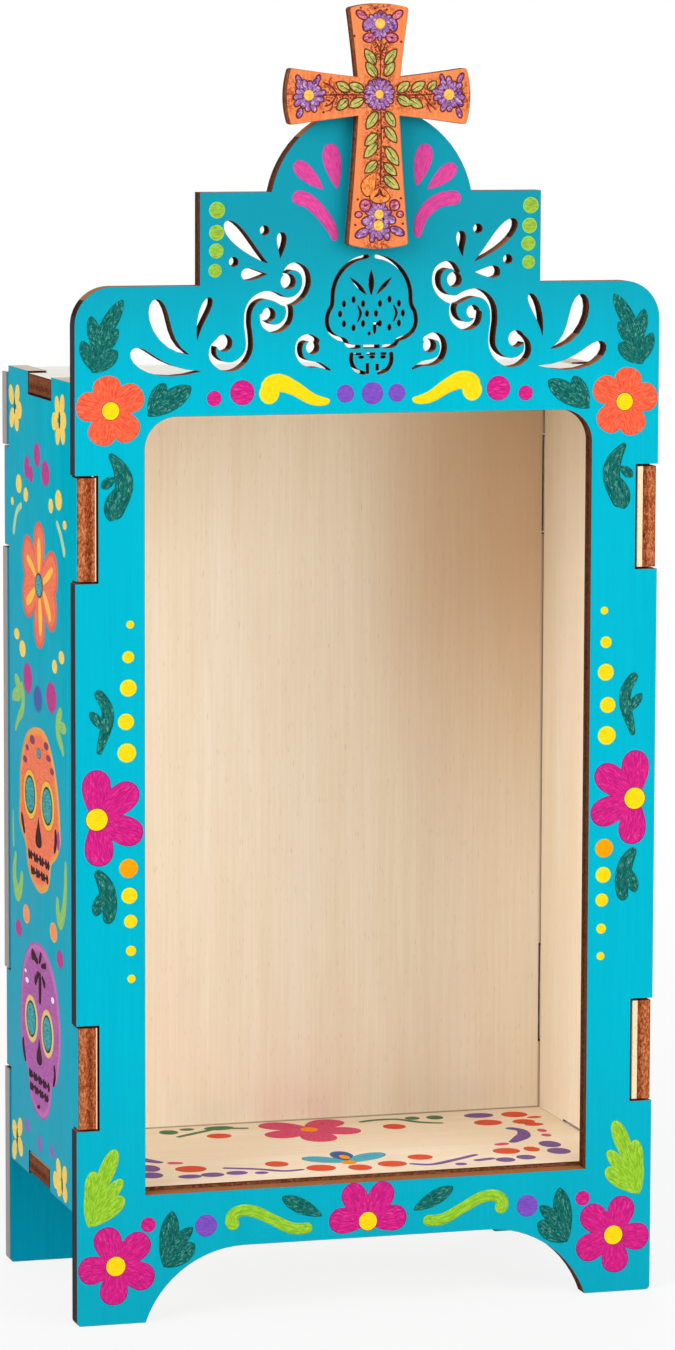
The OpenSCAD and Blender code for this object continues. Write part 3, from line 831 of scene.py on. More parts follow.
# %% Front: dark green leaves
front_leaves = Drawing()
for tail, tip, width in (
    ((-70.6, 236), (-68, 247), 4.4),  # the spray in the upper corner
    ((-70.6, 241), (-62.9, 253.6), 3.9),
    ((-68.9, 240), (-71, 249.8), 3.4),
    ((-69.5, 239.5), (-64.1, 246.6), 3.4),
    ((-70, 236.2), (-73.2, 243.8), 3.4),
    ((-70.8, 236.2), (-64.2, 241.2), 4.2),
    ((-56.5, 225.8), (-52.4, 233.3), 4.0),  # beside the corner flower
    ((-56.8, 225.3), (-45.8, 232.3), 5.2),
    ((-65, 210.5), (-68.4, 207.9), 2.6),
    ((-64.5, 208), (-66.2, 199.8), 4.6),
    ((-67.5, 148.5), (-71.4, 153.2), 2.6),
    ((-68, 109), (-70.2, 102.6), 3.2),
    ((-52.6, 13.6), (-50.6, 27.8), 5.0),  # on the foot
    ((-52.5, 17), (-45.4, 23.4), 3.4),
    ((-52.4, 13.8), (-44.9, 19.2), 5.0),
    ((-12, 24.3), (-22.4, 29.6), 3.9),  # on the rail
):
    front_leaves.petal(tail, tip, width, egg=0.25, sharp=(0.15, 0.2))
front_leaves.stroke((-66.3, 216.3, 1.2), (-63.4, 212, 4), (-62.8, 207.5, 4.6), (-65.2, 200.3, 3))
front_leaves.stroke((-69.8, 158.4, 2.2), (-67.3, 154.5, 3), (-67, 150.5, 3.2), (-68.4, 145.5, 2.2), (-69.2, 142.6, 1.2))
front_leaves.stroke((-69.9, 114, 1.8), (-67.5, 110, 4), (-66.5, 105, 3.8), (-67, 100.6, 2.6))
hang(front_leaves, "front_leaves", "front", "leaf_green", twin="here")

# %% Front: corner flowers
front_coral = Drawing()
for tip in ((-67.4, 235.2), (-58.2, 231.5), (-60, 219.9), (-69.3, 218.5), (-74.6, 228.4)):
    front_coral.petal((-66, 226.7), tip, 7.2, egg=0.35)
hang(front_coral, "front_coral_petals", "front", "coral", twin="here")

# %% Front: magenta flowers and dots
front_magenta = Drawing()
for middle, tips, width in (
    ((-69.7, 126.6), ((-69.8, 138.9), (-59.6, 134.6), (-58.2, 121.8), (-68.8, 114.9)), 7.4),
    ((-65.1, 14.7), ((-68.3, 24.6), (-57, 22), (-55.4, 10.3), (-65.9, 4.9), (-74.7, 13.6)), 7.2),
):
    for tip in tips:
        front_magenta.petal(middle, tip, width, egg=0.35)
for x, y, radius in ((-40, 229.3, 1.9), (-32.9, 230.6, 3.1), (-56.8, 24.7, 1.95)):
    front_magenta.dot(x, y, radius)
for tip in ((-5.3, 31.8), (-10.2, 23)):
    front_magenta.petal((0, 22.2), tip, 6.7, egg=0.35)
hang(front_magenta, "front_magenta_marks", "front", "magenta", twin="here")

# %% Front: yellow dots, flower hearts and commas
front_yellow = Drawing()
for x, y, radius in (
    (-61.2, 174.4, 1.0), (-61.7, 166.4, 1.5), (-61.7, 158.8, 2.15), (-62.3, 150.5, 2.05),
    (-62.1, 142.8, 2.4), (-61.5, 107.4, 2.05), (-61.2, 101, 1.7), (-61.1, 93.7, 1.3),
    (-61, 86.7, 1.05),
):
    front_yellow.dot(x, y, radius)
front_yellow.stroke(
    (-26.2, 229.9, 4.4), (-25.8, 231.8, 5.2), (-23.3, 232.8, 4.6), (-19.6, 231.4, 3.6), (-15.5, 228.9, 3.0),
    (-12.4, 228.1, 2.2), (-10.6, 228.3, 1.2),
)
front_yellow.petal((-26.1, 232.6), (-26, 227.6), 5.2, egg=-0.1)
hang(front_yellow, "front_yellow_marks", "front", "yellow", twin="here")

# %% Front: the heart in the middle, orange and purple dots
hearts = Drawing(coat=1).dot(-66, 226.7, 2.3).dot(-69.7, 126.6, 2.9).dot(-65.1, 14.7, 2.6)
hang(hearts, "front_flower_hearts", "front", "heart_yellow", twin="here")
hang(Drawing(coat=1).dot(0, 22.2, 2.5), "front_middle_heart", "front", "heart_yellow")
hang(Drawing().dot(-61.7, 114.2, 2.4), "front_orange_dots", "front", "amber", twin="here")
hang(Drawing().dot(-6.6, 229.9, 2.25).dot(-42, 23.6, 2.85), "front_purple_dots", "front", "purple", twin="here")
hang(Drawing().dot(0.3, 229.9, 2.8), "front_middle_dot", "front", "purple")

# %% Front: lime sprays, squiggles and the dots beside the crest
front_lime = Drawing()
for tail, tip, width in (
    ((-71.8, 24.8), (-70, 36), 5.0),
    ((-71, 25), (-70.8, 39.1), 4.4),
    ((-71, 30), (-65, 44.3), 4.2),
    ((-70.8, 28), (-63.3, 36.6), 3.4),
    ((-71.6, 25.2), (-62.9, 32), 4.4),
):
    front_lime.petal(tail, tip, width, egg=0.35)
front_lime.stroke(
    (-34.2, 22.3, 3.4), (-35.5, 24.9, 3.4), (-33.4, 26.8, 3), (-29.5, 26.4, 3), (-24.5, 23.9, 2.8),
    (-19.5, 21.5, 3), (-14.5, 21.5, 2.8),
)
hang(front_lime, "front_lime_leaves", "front", "lime", twin="here")
crest_dots = Drawing()
for left, right, radius in (
    ((-39.3, 275.1), (41, 275.7), 2.05),
    ((-39.4, 269.6), (40.7, 270.7), 1.95),
    ((-39.5, 265.2), (40.4, 266.3), 1.85),
    ((-39.8, 260.4), (40.5, 261.7), 1.7),
):
    crest_dots.dot(*left, radius).dot(*right, radius)
hang(crest_dots, "front_crest_dots", "front", "moss")

# %% Front: pink fans beside the cross
pink_fans = Drawing()
for tail, tip, width in (
    ((-8.9, 280), (-11, 291.2), 4.7),
    ((-12.4, 279.9), (-19.8, 286.6), 4.1),
    ((11.4, 280.6), (14, 291), 4.7),
    ((14.2, 279.8), (21.5, 285.8), 4.1),
):
    pink_fans.petal(tail, tip, width, egg=0.3, sharp=(0.2, 0))
pink_fans.stroke((-20.3, 278.2, 3.6), (-16.5, 277.3, 3.6), (-12.8, 274, 3.2), (-10.2, 270.3, 2.6), (-9.4, 267.4, 1.4))
pink_fans.stroke((22.8, 277.8, 3.6), (17, 277, 3.6), (13, 273.5, 3.2), (11.9, 270.3, 2.6), (11.8, 268, 1.4))
hang(pink_fans, "front_pink_fans", "front", "fan_pink")

# %% [markdown]
# ## The side boards' ornament
# Both side boards carry the same column: small yellow flowers at the top and bottom, a large coral
# flower, an orange sugar skull and a purple one, with sprigs, seeds and dots between them. Here x runs
# to the back of the box and y upward. The right side isn't seen in the photograph, so it mirrors the
# left. These marks look dabbed on wet paint, so their rims blend into the turquoise.

# %% The paints of the side boards
MOTTLED = (0.35, 1.6, 1.0)  # blotches instead of streaks, finer up and down than along the board
for row in (
    ("side_yellow", (248, 212, 98), (244, 184, 84), (242, 230, 132), (160, 150, 84), 0.7, 0.5, 0.14),
    ("side_pale_stem", (184, 214, 162), (150, 200, 160), None, None, 0.5),
    ("side_coral", (242, 130, 92), (232, 104, 82), (236, 98, 84), (200, 120, 120), 0.8, 0.55, 0.1, MOTTLED),
    ("side_gold", (252, 196, 88), (250, 166, 84), (246, 176, 92), (226, 120, 76), 0.6, 0.4, 0.14),
    ("side_orange_seed", (246, 152, 96), (240, 130, 84), (250, 180, 110), (150, 160, 140), 0.5, 0.4, 0.12),
    ("side_pink", (190, 66, 136), (170, 58, 130), (156, 100, 160), (90, 130, 178), 0.6, 0.4, 0.14, MOTTLED),
    ("side_faint_pink", (142, 112, 176), (120, 116, 180), (110, 134, 182), (60, 150, 186), 0.6, 0.5, 0.2),
    ("side_violet", (78, 94, 160), (62, 104, 164), (58, 122, 172), (36, 144, 184), 0.8, 0.5, 0.2, MOTTLED),
    ("side_lime", (152, 194, 106), (118, 182, 112), (184, 222, 130), (70, 178, 150), 0.8, 0.4, 0.2),
    ("side_teal", (66, 164, 170), (36, 122, 132), (124, 200, 202), (40, 62, 68), 1.0, 0.0, 0.3, (0.5, 2.2, 1.0)),
    ("skull_orange", (240, 126, 88), (232, 104, 92), (244, 158, 78), (232, 176, 110), 0.9, 0.3, 0.06, MOTTLED),
    ("skull_purple", (176, 100, 168), (160, 84, 156), (202, 116, 180), (160, 120, 184), 0.9, 0.3, 0.08, MOTTLED),
    ("eye_ring", (242, 192, 62), (232, 156, 60), (236, 200, 100), (206, 120, 60), 0.6, 0.2, 0.12),
    ("pale_eye_ring", (232, 200, 116), (224, 170, 130), (222, 170, 150), (196, 120, 150), 0.6, 0.2, 0.12),
    ("dark_line", (58, 30, 38), (34, 18, 26), (84, 44, 50), None, 0.6),
    ("side_plum", (140, 70, 96), (110, 56, 84), (170, 90, 110)),
    ("glint", (246, 240, 240), (222, 204, 222), None, None, 0.4),
):
    hand_paint(*row)
print(len(PAINTS), "paints")

# %% Sides: small yellow flowers, seeds and their stems
yellow, middles, pale_stems = Drawing(), Drawing(coat=1), Drawing()
for middle, petals in (
    ((29.7, 223.3), ((33.4, 226), (26.8, 226.4), (24.7, 222.7), (27.6, 219.8), (32.6, 220.2))),
    ((-18.7, 223.3), ((-16.6, 226.4), (-21.6, 227.2), (-13.7, 222.7), (-17, 219.8), (-22, 220.2), (-22.9, 223.5))),
    ((29.9, 34.7), ((32.6, 35.9), (26.8, 37.6), (33, 30.5), (26.3, 32.6))),
    ((-19.5, 32.2), ((-15.8, 35.5), (-22, 35), (-12.6, 32), (-16.4, 30.9), (-22, 30.8))),
):
    for petal in petals:
        out = Vector(petal) - Vector(middle)
        yellow.petal(Vector(petal) - 3.2 * out.normalized(), Vector(petal) + 3.0 * out.normalized(), 4.7, egg=0.1)
    middles.oval(*middle, 1.7, 4.2)
for x, y, long, wide in (
    (25.3, 203.9, 6.5, 5), (17.6, 201.8, 5, 3.8), (32.6, 198.9, 3, 2.2), (-9.5, 201.4, 5, 3.8),
    (-17.7, 203.5, 7, 5.3), (-24.1, 197.9, 4, 2.4), (28.2, 165.3, 6, 3), (21.8, 162.2, 7, 4.5),
    (-20.3, 164.8, 6, 3.4), (-13, 161.7, 5.4, 3.6),
):
    yellow.oval(x, y, long, wide)
hang(yellow, "side_yellow_flowers", "side", "side_yellow")
hang(middles, "side_flower_middles", "side", "leaf_green")
pale_stems.stroke((22.2, 198.9, 1.6), (28, 196.4, 2), (31.8, 190.6, 2.4))
pale_stems.stroke((-15.3, 198, 1.6), (-19.5, 195.2, 2), (-24.1, 190.2, 2.6))
hang(pale_stems, "side_pale_stems", "side", "side_pale_stem")

# %% Sides: coral flower
coral, rays = Drawing(), Drawing(coat=1)
HEART_AT = (3.4, 180.2)
for tip in ((3.4, 196.4), (21.2, 188.6), (21.6, 175), (3.4, 164.2), (-15.2, 173.8), (-16.4, 186.2)):
    coral.petal(HEART_AT, tip, 12, egg=0.3, sharp=(0.1, 0))
for line in (
    ((3.4, 183.5, 2), (3.4, 188, 4.2), (3.4, 192.2, 2.6)), ((6.6, 182.4, 1.6), (11.5, 184.6, 2.6), (16.6, 186.2, 2)),
    ((7.6, 178.8, 1.8), (12.5, 176.4, 3.2), (17.2, 174.6, 2.2)), ((2.8, 177.4, 2.2), (2.2, 172.5, 4.4),
     (2, 167.6, 2.6)),
    ((-1, 179, 2), (-5.3, 176, 3.6), (-9.2, 172.6, 2.4)), ((-1, 181.4, 1.8), (-6.5, 183.6, 2.6), (-11.6, 185.8, 1.8)),
):
    rays.stroke(*line)
hang(coral, "side_coral_petals", "side", "side_coral")
hang(rays, "side_gold_rays", "side", "side_gold")

# %% Sides: sprigs, dots and seeds
sprigs = Drawing().oval(27.4, 153, 7.4, 3.6, 20).oval(-21.2, 147.4, 8, 3.2)
for line in (
    ((24, 153.4, 3), (21.6, 150, 4), (22.5, 146.5, 3.6), (26.5, 144, 2.6), (30.3, 140.3, 1.6)),
    ((24, 150.2, 4), (29, 149.8, 4), (33.6, 148.4, 2)),
    ((-20.3, 151.6, 3), (-16.4, 148.7, 4.2), (-16.2, 145.4, 4), (-20, 142.8, 3), (-22.4, 140.6, 1.6)),
    ((30, 109, 2), (32, 103, 4.2), (29.4, 98.6, 4.8), (25.6, 99.6, 4.4), (23, 104.8, 3)),
    ((-24.1, 114.6, 2), (-23.7, 108, 3.4), (-22.4, 102.7, 4.2), (-18.9, 98.6, 4.6), (-15.8, 100, 4.2),
     (-15.2, 104.4, 2.6)),
    ((33, 119.4, 1), (33, 114.6, 1.8), (32.4, 109.8, 1.4)),
):
    sprigs.stroke(*line)
hang(sprigs, "side_lime_sprigs", "side", "side_lime")
for name, paint, ovals in (
    ("pink_dots", "side_pink", ((16.2, 208.9, 6.4, 6.2), (12, 207.4, 5, 4.6), (5.3, 212.8, 7.5, 6.5),
      (-3.7, 208.9, 9.4, 6.8),
                              (16.2, 155.4, 10.5, 8.3), (-9.3, 153.5, 11.7, 8.3), (27.2, 89.5, 7.5, 4.5),
                              (-17.8, 89, 7.5, 4.8))),
    ("faint_dots", "side_faint_pink", ((18.8, 39.7, 6.5, 4), (-8.7, 38.4, 6, 3.6), (4.7, 37.6, 6, 5))),
    ("violet_dot", "side_violet", ((5.1, 151.4, 10, 7),)),
    ("orange_seeds", "side_orange_seed", ((18.7, 94.5, 7.5, 5), (-10.9, 94.6, 8, 5.2))),
):
    hang(scatter(Drawing(), *ovals), "side_" + name, "side", paint)

# %% [markdown]
# ## Sugar skulls
# Each skull is one wide mark whose rim follows an outline, clockwise from its top. Each eye is an oval
# on a wider oval ring, coat above coat. Nose, teeth and cheek lines are dark marks, drawn in one
# piece for both skulls.

# %% Sides: the skulls' faces and eyes
hang(Drawing().shape((4, 123.5), [
    (4.7, 144.2), (12, 143.2), (18, 141), (23, 136), (25.5, 130.2), (25.5, 124.3), (26.8, 119.3), (24.7, 116),
    (19.3, 112.7),
    (17.6, 108.5), (13.8, 104.8), (4.7, 102.3), (-3.7, 103.9), (-7, 106.8), (-8.3, 111), (-14.5, 113.9), (-18.7, 118),
    (-18.3, 121.8), (-17.4, 126.8), (-15.3, 131.8), (-12, 136.8), (-7, 141.4), (-1.2, 143.9),
]), "side_orange_skull", "side", "skull_orange")
hang(Drawing().shape((3.6, 67), [
    (5, 89.3), (14.7, 87.6), (21.3, 83), (24.7, 77.2), (25.5, 70.5), (25.5, 63), (23, 58), (17.6, 54.7), (16.3, 49.7),
    (10.5, 45.5), (3, 44.3), (-3.7, 45.9), (-7.4, 50.5), (-8.7, 54.7), (-13.7, 56.3), (-16.6, 61.3), (-18.3, 67.2),
    (-17.8, 73), (-15.3, 78.8), (-11.2, 83.8), (-3.7, 88),
]), "side_purple_skull", "side", "skull_purple")
eyes = Drawing(coat=2)
for name, paint, rings in (
    ("orange", "eye_ring", ((13.8, 126, 11.2, 9.8), (-4.9, 125.6, 11.2, 9.8))),
    ("purple", "pale_eye_ring", ((13.4, 68.4, 10.6, 9.4), (-4.1, 67.6, 10, 9.6))),
):
    hang(scatter(Drawing(coat=1), *((x, y, long + 4.4, wide + 3.2) for x, y, long, wide in rings)),
         f"side_{name}_eye_rings", "side", paint)
    scatter(eyes, *rings)
hang(scatter(eyes, (*HEART_AT, 8, 6.2)), "side_teal_eyes", "side", "side_teal")
drop = Drawing(coat=1).oval(4.3, 137.7, 4.6, 2.8)
hang(drop, "side_forehead_drop", "side", "side_teal")
cheek = Drawing(coat=1).oval(-16.4, 118.5, 3, 5)
hang(cheek, "side_pink_cheek", "side", "side_pink")

# %% Sides: the skulls' dark marks
dark = Drawing(coat=3)
for top, foot, width in (((4.7, 121.4), (4.7, 113.6), 6.6), ((4.7, 64.8), (4.7, 58), 5.6)):
    dark.petal(top, foot, width, egg=0.8, sharp=(0.4, 0))
for first, last, count, y, tall in (
    (15, -6.6, 8, 110.7, 2.3), (12, -4.6, 7, 107.0, 2.1), (15, -5.4, 9, 54.2, 2.0), (14, -4.6, 8, 51.0, 1.9),
):
    for k in range(count):
        x = first + (last - first) * k / (count - 1)
        dark.petal((x + 0.7, y + tall / 2), (x - 0.7 * (-1) ** k, y - tall / 2), 1.9, egg=0.2)
    dark.stroke((first + 0.6, y + 0.5 * (-1) ** count, 0.5), ((first + last) / 2, y, 0.7), (last - 0.6, y, 0.5))
for line in (
    ((23.4, 120, 1.2), (22.2, 118.2, 2), (20, 115.2, 1.2)), ((-13.7, 121, 1.4), (-13.8, 118, 2.2), (-12.4, 114.8, 1.2)),
    ((22.6, 62, 1.2), (21.8, 59, 1.8), (19.7, 56.3, 1)), ((-11.4, 61, 1.2), (-12, 58, 1.8), (-10.3, 55.5, 1)),
    ((3.8, 82, 1.8), (3.6, 78, 2.6), (3.8, 73.8, 1.8)), ((5.9, 84.1, 1.2), (8.6, 84.8, 1.8), (11.3, 85.5, 2.4)),
    ((2.2, 87.2, 1.4), (3.4, 85.6, 1.8), (4.7, 84.2, 1.2)), ((2.2, 83.8, 1), (-2.8, 84.7, 1.8)),
    ((5.2, 81.8, 1.4), (9.3, 78.4, 2.4)), ((1.6, 81.2, 1), (-2, 79.3, 2)), ((6.8, 46.8, 0.8), (4.2, 47.4, 1)),
):
    dark.stroke(*line)
hang(dark.dot(11.5, 85.3, 1.5), "side_dark_marks", "side", "dark_line")
plum = Drawing(coat=1)
for mark in (
    (11.3, 140.3, 5.5, 2.3), (-3.7, 140.6, 5, 2), (-6.2, 137.8, 5, 1.6), (19.3, 134.3, 4.5, 1.8), (-9.9, 135, 4, 1.8),
    (17, 137.6, 3.4, 1.5),
):
    plum.oval(*mark)
hang(plum, "side_forehead_marks", "side", "side_plum")
glints = Drawing(coat=1).oval(18, 77.6, 3.5, 1.4).oval(-9.9, 77.2, 3, 1.7).oval(19.6, 79.8, 2.4, 0.9)
hang(glints, "side_white_glints", "side", "glint")

# %% [markdown]
# ## The niche floor's ornament
# The floor is painted on bare veneer: two large flowers in the middle, and scrolls of dots and stems
# towards both ends. It is seen very flat, so only its colours and rhythm read. The front board hides
# the left end in the photograph, so that end mirrors the right one. x runs to the right, y to the back.

# %% The floor's paints
for row in (
    ("floor_red", (232, 92, 62), (208, 70, 52), (244, 120, 84), (180, 60, 50), 0.5, 0.0, 0.1),
    ("floor_pink", (226, 88, 128), (200, 62, 108), (240, 136, 150), (214, 96, 70), 0.6, 0.0, 0.1),
    ("floor_green", (92, 136, 98), (66, 112, 84), (122, 160, 110), None, 0.6),
    ("floor_purple", (130, 98, 166), (104, 78, 148), (154, 120, 188), (96, 66, 116), 0.6, 0.0, 0.1),
    ("floor_teal", (84, 184, 208), (56, 150, 190), (120, 206, 220), (60, 110, 150), 0.5, 0.0, 0.1),
):
    hand_paint(*row)
print(len(PAINTS), "paints")

ENDS_MIDDLE = 1.5  # both ends of the floor's ornament mirror each other about this x, in mm


def at_end(side, *nodes):
    """Nodes of a stroke at the right end, or mirrored to the left end where side is -1."""
    return [(ENDS_MIDDLE + side * (x - ENDS_MIDDLE), y, width) for x, y, width in nodes]


# %% The floor's marks
pink, red, green, purple = Drawing(), Drawing(), Drawing(), Drawing()
for tip in ((-8.2, 34.2), (12.4, 34.4), (-10.4, 17.8), (14.6, 18.3), (1.8, 8.4)):
    pink.petal((2.2, 24.2), tip, 9.4, egg=0.3)
scatter(red, (24.8, 22, 6, 6.5), (60, 28.5, 7, 7), (64, 23.8, 4, 2.5), (59.5, 19, 6, 6), (61, 15, 5, 4),
        (50, 20.3, 7.5, 7), (43.5, -15, 7, 7), (50.5, -14.5, 4, 6), (20, -16.2, 6.5, 6.5), (-17.5, -14.5, 6, 6.5),
        (-40, -14.5, 8, 7.5), (-22.5, 22.7, 6.5, 6), (-57, 28.5, 7, 7), (-61, 23.8, 4, 2.5), (-56.5, 19, 6, 6),
        (-58, 15, 5, 4), (-47, 20.3, 7.5, 7), (-8, -22, 7.5, 7.5), (1.7, -24, 6, 7), (10.8, -22, 7.5, 7))
scatter(green, (-34, 30.5, 5, 5.5), (-28.5, 32.8, 4, 3), (-20, 32.2, 8, 5), (32.5, 31, 4, 4), (38.5, 30.3, 4.5, 5))
green.stroke((-33.5, 24, 1.6), (-27, 28, 1.8), (-22, 31, 1.6)).stroke((-18, 31.5, 1.8), (-12.5, 30, 1.6))
green.stroke((17.5, 29.8, 1.4), (22, 31.2, 1.8), (28, 30.8, 1.8), (33, 25.5, 1.8), (38.5, 22.8, 1.4))
scatter(purple, (57, -9.8, 5.5, 8), (56.5, -18.5, 6, 7.5), (50.5, 29.8, 8, 6), (-42.5, -23, 6, 4.5),
        (-36.5, -22.5, 6, 5), (-30, -22, 5.5, 4.5), (-24, -23.5, 3.5, 3), (27.5, -27, 3, 3), (40, -25, 5, 5.5),
        (46, -23.5, 5, 5.5), (-50, -11, 5.5, 8), (-51.5, -19, 6, 7), (-47.5, 29.8, 8, 6))
for side in (1, -1):
    purple.stroke(*at_end(side, (52.5, 12.5, 3), (55.2, 9, 2.6), (54.5, 4, 3.4), (52.5, 0, 4), (48, -5.5, 2)))
    pink.stroke(*at_end(side, (43, -7.2, 2.4), (47, -6, 3)))
    pink.oval(ENDS_MIDDLE + side * 59, 7, 2.4, 4).oval(ENDS_MIDDLE + side * 58.2, 1, 2.6, 3.6)
purple.stroke((-32, -15.5, 1.6), (-24, -19, 1.8), (-18, -23, 1.8), (-12.5, -22.5, 1.4))
purple.stroke((15, -23, 1.6), (20, -25.5, 2), (27, -22, 2), (35, -17, 1.6)).stroke((32, -24, 2.4), (38, -22.5, 2.4))
teal = Drawing().petal((0.5, -17), (-9.2, -9), 6.6, egg=0.2).petal((0.5, -17), (12.2, -8.6), 6.6, egg=0.2)
violet = Drawing().petal((0.8, -16), (1.6, -3.8), 5.8, egg=0.2)
for marks, name, paint in (
    (pink, "floor_pink_marks", "floor_pink"), (red, "floor_red_marks", "floor_red"),
    (green, "floor_green_marks", "floor_green"),
    (purple, "floor_purple_marks", "floor_purple"), (teal, "floor_teal_petals", "floor_teal"),
    (violet, "floor_violet_petal", "side_violet"),
):
    hang(marks, name, "floor", paint)
hearts = scatter(Drawing(coat=1), (2.2, 24.2, 4.6, 5.4), (1.4, -11, 2.6, 5), (0.6, -17.6, 4, 4.6))
hang(hearts, "floor_orange_hearts", "floor", "amber")

# %% [markdown]
# ## The cross's ornament
# The cross is covered with small engraved and coloured flowers and leaves. Each mark is first drawn a
# little larger in dark brown, like a burnt engraved line, and then in its colour on top. The paints
# are mottled on a fine scale, and thin brown ribs, dots and curls are engraved over and between them.

# %% The cross's paints
FINE = (1.0, 1.4, 1.0)  # specks of half a millimetre instead of streaks
for row in (
    ("cross_line", (118, 48, 36), (76, 30, 32), (172, 84, 50), None, 1.0, 0.0, 0.0, FINE),
    ("cross_purple", (160, 112, 168), (98, 52, 112), (234, 210, 230), (90, 38, 78), 1.0, 0.0, 0.2, FINE),
    ("cross_leaf", (186, 178, 92), (104, 138, 74), (226, 212, 136), (92, 82, 44), 1.0, 0.0, 0.25, FINE),
    ("cross_yellow", (250, 196, 84), (228, 150, 66), (254, 222, 130), (186, 104, 48), 0.8, 0.2, 0.2, FINE),
    ("cross_rose", (204, 112, 136), (140, 54, 96), (236, 172, 164), (120, 44, 80), 1.0, 0.0, 0.2, FINE),
    ("cross_bud", (234, 142, 70), (200, 98, 50), (246, 176, 96), None, 1.0, 0.0, 0.0, FINE),
):
    hand_paint(*row)
CROSS_PAINTS = {kind: "cross_" + kind for kind in ("purple", "leaf", "rose", "bud")}
CROSS_PAINTS |= {"heart": "cross_yellow", "rib": "cross_line"}
print(len(PAINTS), "paints")


class Engraving:
    """Marks that are each laid twice: wider in the dark line colour, and then in their own colour."""

    def __init__(self, line=0.28):
        self.line, self.under = line, Drawing()
        self.colours = {}

    def petal(self, paint, tail, tip, width, **looks):
        tail, tip = Vector(tail), Vector(tip)
        way = (tip - tail).normalized() * self.line
        self.under.petal(tail - way, tip + way, width + 2 * self.line, **looks)
        marks = self.colours.setdefault(paint, Drawing(coat=2 if paint == "heart" else 1))
        marks.petal(tail, tip, width, **looks)

    def rib(self, *nodes):
        """A thin engraved line over the colours."""
        self.colours.setdefault("rib", Drawing(coat=2)).stroke(*nodes)

    def oval(self, paint, x, y, long, wide, turn=0.0):
        half = Vector((math.cos(math.radians(turn)), math.sin(math.radians(turn)))) * long / 2
        self.petal(paint, Vector((x, y)) - half, Vector((x, y)) + half, wide, egg=0)

    def ring(self, x, y, petals, inner, reaches, width, start=90.0):
        """A ring of purple petals of one or more lengths."""
        middle = Vector((x, y))
        for k in range(petals):
            turn = math.radians(start + 360 * k / petals)
            way, reach = Vector((math.cos(turn), math.sin(turn))), reaches[k % len(reaches)]
            self.petal("purple", middle + way * inner, middle + way * reach, width, egg=0.2)

    def leaf(self, tail, tip, width):
        """A pointed leaf with an engraved rib."""
        self.petal("leaf", tail, tip, width * 1.2, egg=0.0, sharp=(0.2, 0.35))
        near, far = Vector(tail).lerp(Vector(tip), 0.05), Vector(tail).lerp(Vector(tip), 0.7)
        self.rib((*near, 0.28), (*near.lerp(far, 0.5), 0.22), (*far, 0.12))


# %% Cross: flowers
cross_art = Engraving()
for x, y, petals, inner, reaches, width, start in (
    (0.5, 303.1, 18, 2.0, (4.0, 3.8), 1.0, 90), (0.5, 303.1, 12, 0.9, (2.7,), 0.9, 75),  # the middle
    (-17.3, 302.9, 14, 1.8, (4.3, 3.4, 3.9), 1.25, 60), (-17.3, 302.9, 10, 1.0, (2.6,), 1.0, 80),
    (18.4, 303.0, 14, 1.8, (4.1, 3.4, 4.4), 1.25, 40), (18.4, 303.0, 10, 1.0, (2.7,), 1.0, 80),
    (0.7, 320.0, 14, 1.0, (3.4, 2.9), 1.0, 90), (0.6, 317.6, 5, 0.2, (1.5,), 0.8, 200),
    (0.5, 273.8, 14, 0.9, (2.7, 3.3), 1.0, 90), (0.4, 271.0, 14, 1.0, (3.2, 2.7), 1.0, 80),
):
    cross_art.ring(x, y, petals, inner, reaches, width, start)
for x, y, long, wide, turn, paint in (
    (-2.5, 320.0, 3.3, 2.2, 75, "purple"), (3.9, 320.0, 3.3, 2.2, 105, "purple"), (-2.0, 316.8, 3.1, 2.1, 8, "rose"),
    (3.7, 316.8, 3.0, 2.1, -8, "rose"), (-4.0, 322.3, 3.0, 1.6, 145, "rose"), (5.1, 322.3, 3.0, 1.6, 35, "rose"),
    (-2.9, 276.1, 2.6, 2.9, 0, "rose"), (4.6, 276.1, 2.4, 2.5, 0, "rose"), (-4.6, 273.9, 1.6, 1.3, 0, "rose"),
    (6.0, 273.9, 1.6, 1.3, 0, "rose"), (-2.5, 272.3, 2.5, 1.9, 20, "purple"), (3.6, 272.6, 2.5, 1.9, -20, "purple"),
    (-3.6, 269.4, 3.8, 1.9, 25, "purple"), (5.3, 269.8, 3.8, 1.8, -25, "purple"), (-1.0, 268.2, 2.2, 1.2, 75, "purple"),
    (2.6, 268.7, 2.2, 1.2, 105, "purple"), (0.7, 268.6, 2.0, 1.1, 90, "purple"),
    (-19.8, 306.5, 2.6, 1.1, 115, "purple"),
    (-19.6, 298.6, 2.4, 1.3, 70, "purple"), (-15.0, 306.8, 2.0, 0.9, 70, "purple"),
    (21.3, 307.0, 2.6, 1.1, 60, "purple"),
    (21.0, 298.6, 2.6, 1.1, 110, "purple"), (16.6, 307.0, 1.8, 0.9, 105, "purple"),
    (0.6, 303.1, 2.2, 2.2, 0, "heart"), (-17.3, 302.9, 2.7, 2.7, 0, "heart"), (18.4, 303.0, 2.8, 2.8, 0, "heart"),
    (0.7, 320.2, 2.7, 2.7, 0, "heart"), (0.6, 273.9, 2.5, 2.5, 0, "heart"), (0.5, 271.2, 2.7, 2.7, 0, "heart"),
):
    cross_art.oval(paint, x, y, long, wide, turn)
for x, y, wide in ((-2.0, 316.8, 0.8), (3.7, 316.8, 0.8), (-2.9, 276.1, 0.9), (4.6, 276.1, 0.8)):
    cross_art.rib((x - wide / 2, y, 0.5), (x + wide / 2, y, 0.5))
cross_art.petal("bud", (-0.3, 284.2), (-2.6, 278.4), 3.5, egg=0.15, bend=-0.5, sharp=(0.5, 0.2))
cross_art.petal("bud", (0.8, 280.5), (0.8, 276.7), 4.9, egg=0.1, sharp=(0.3, 0))
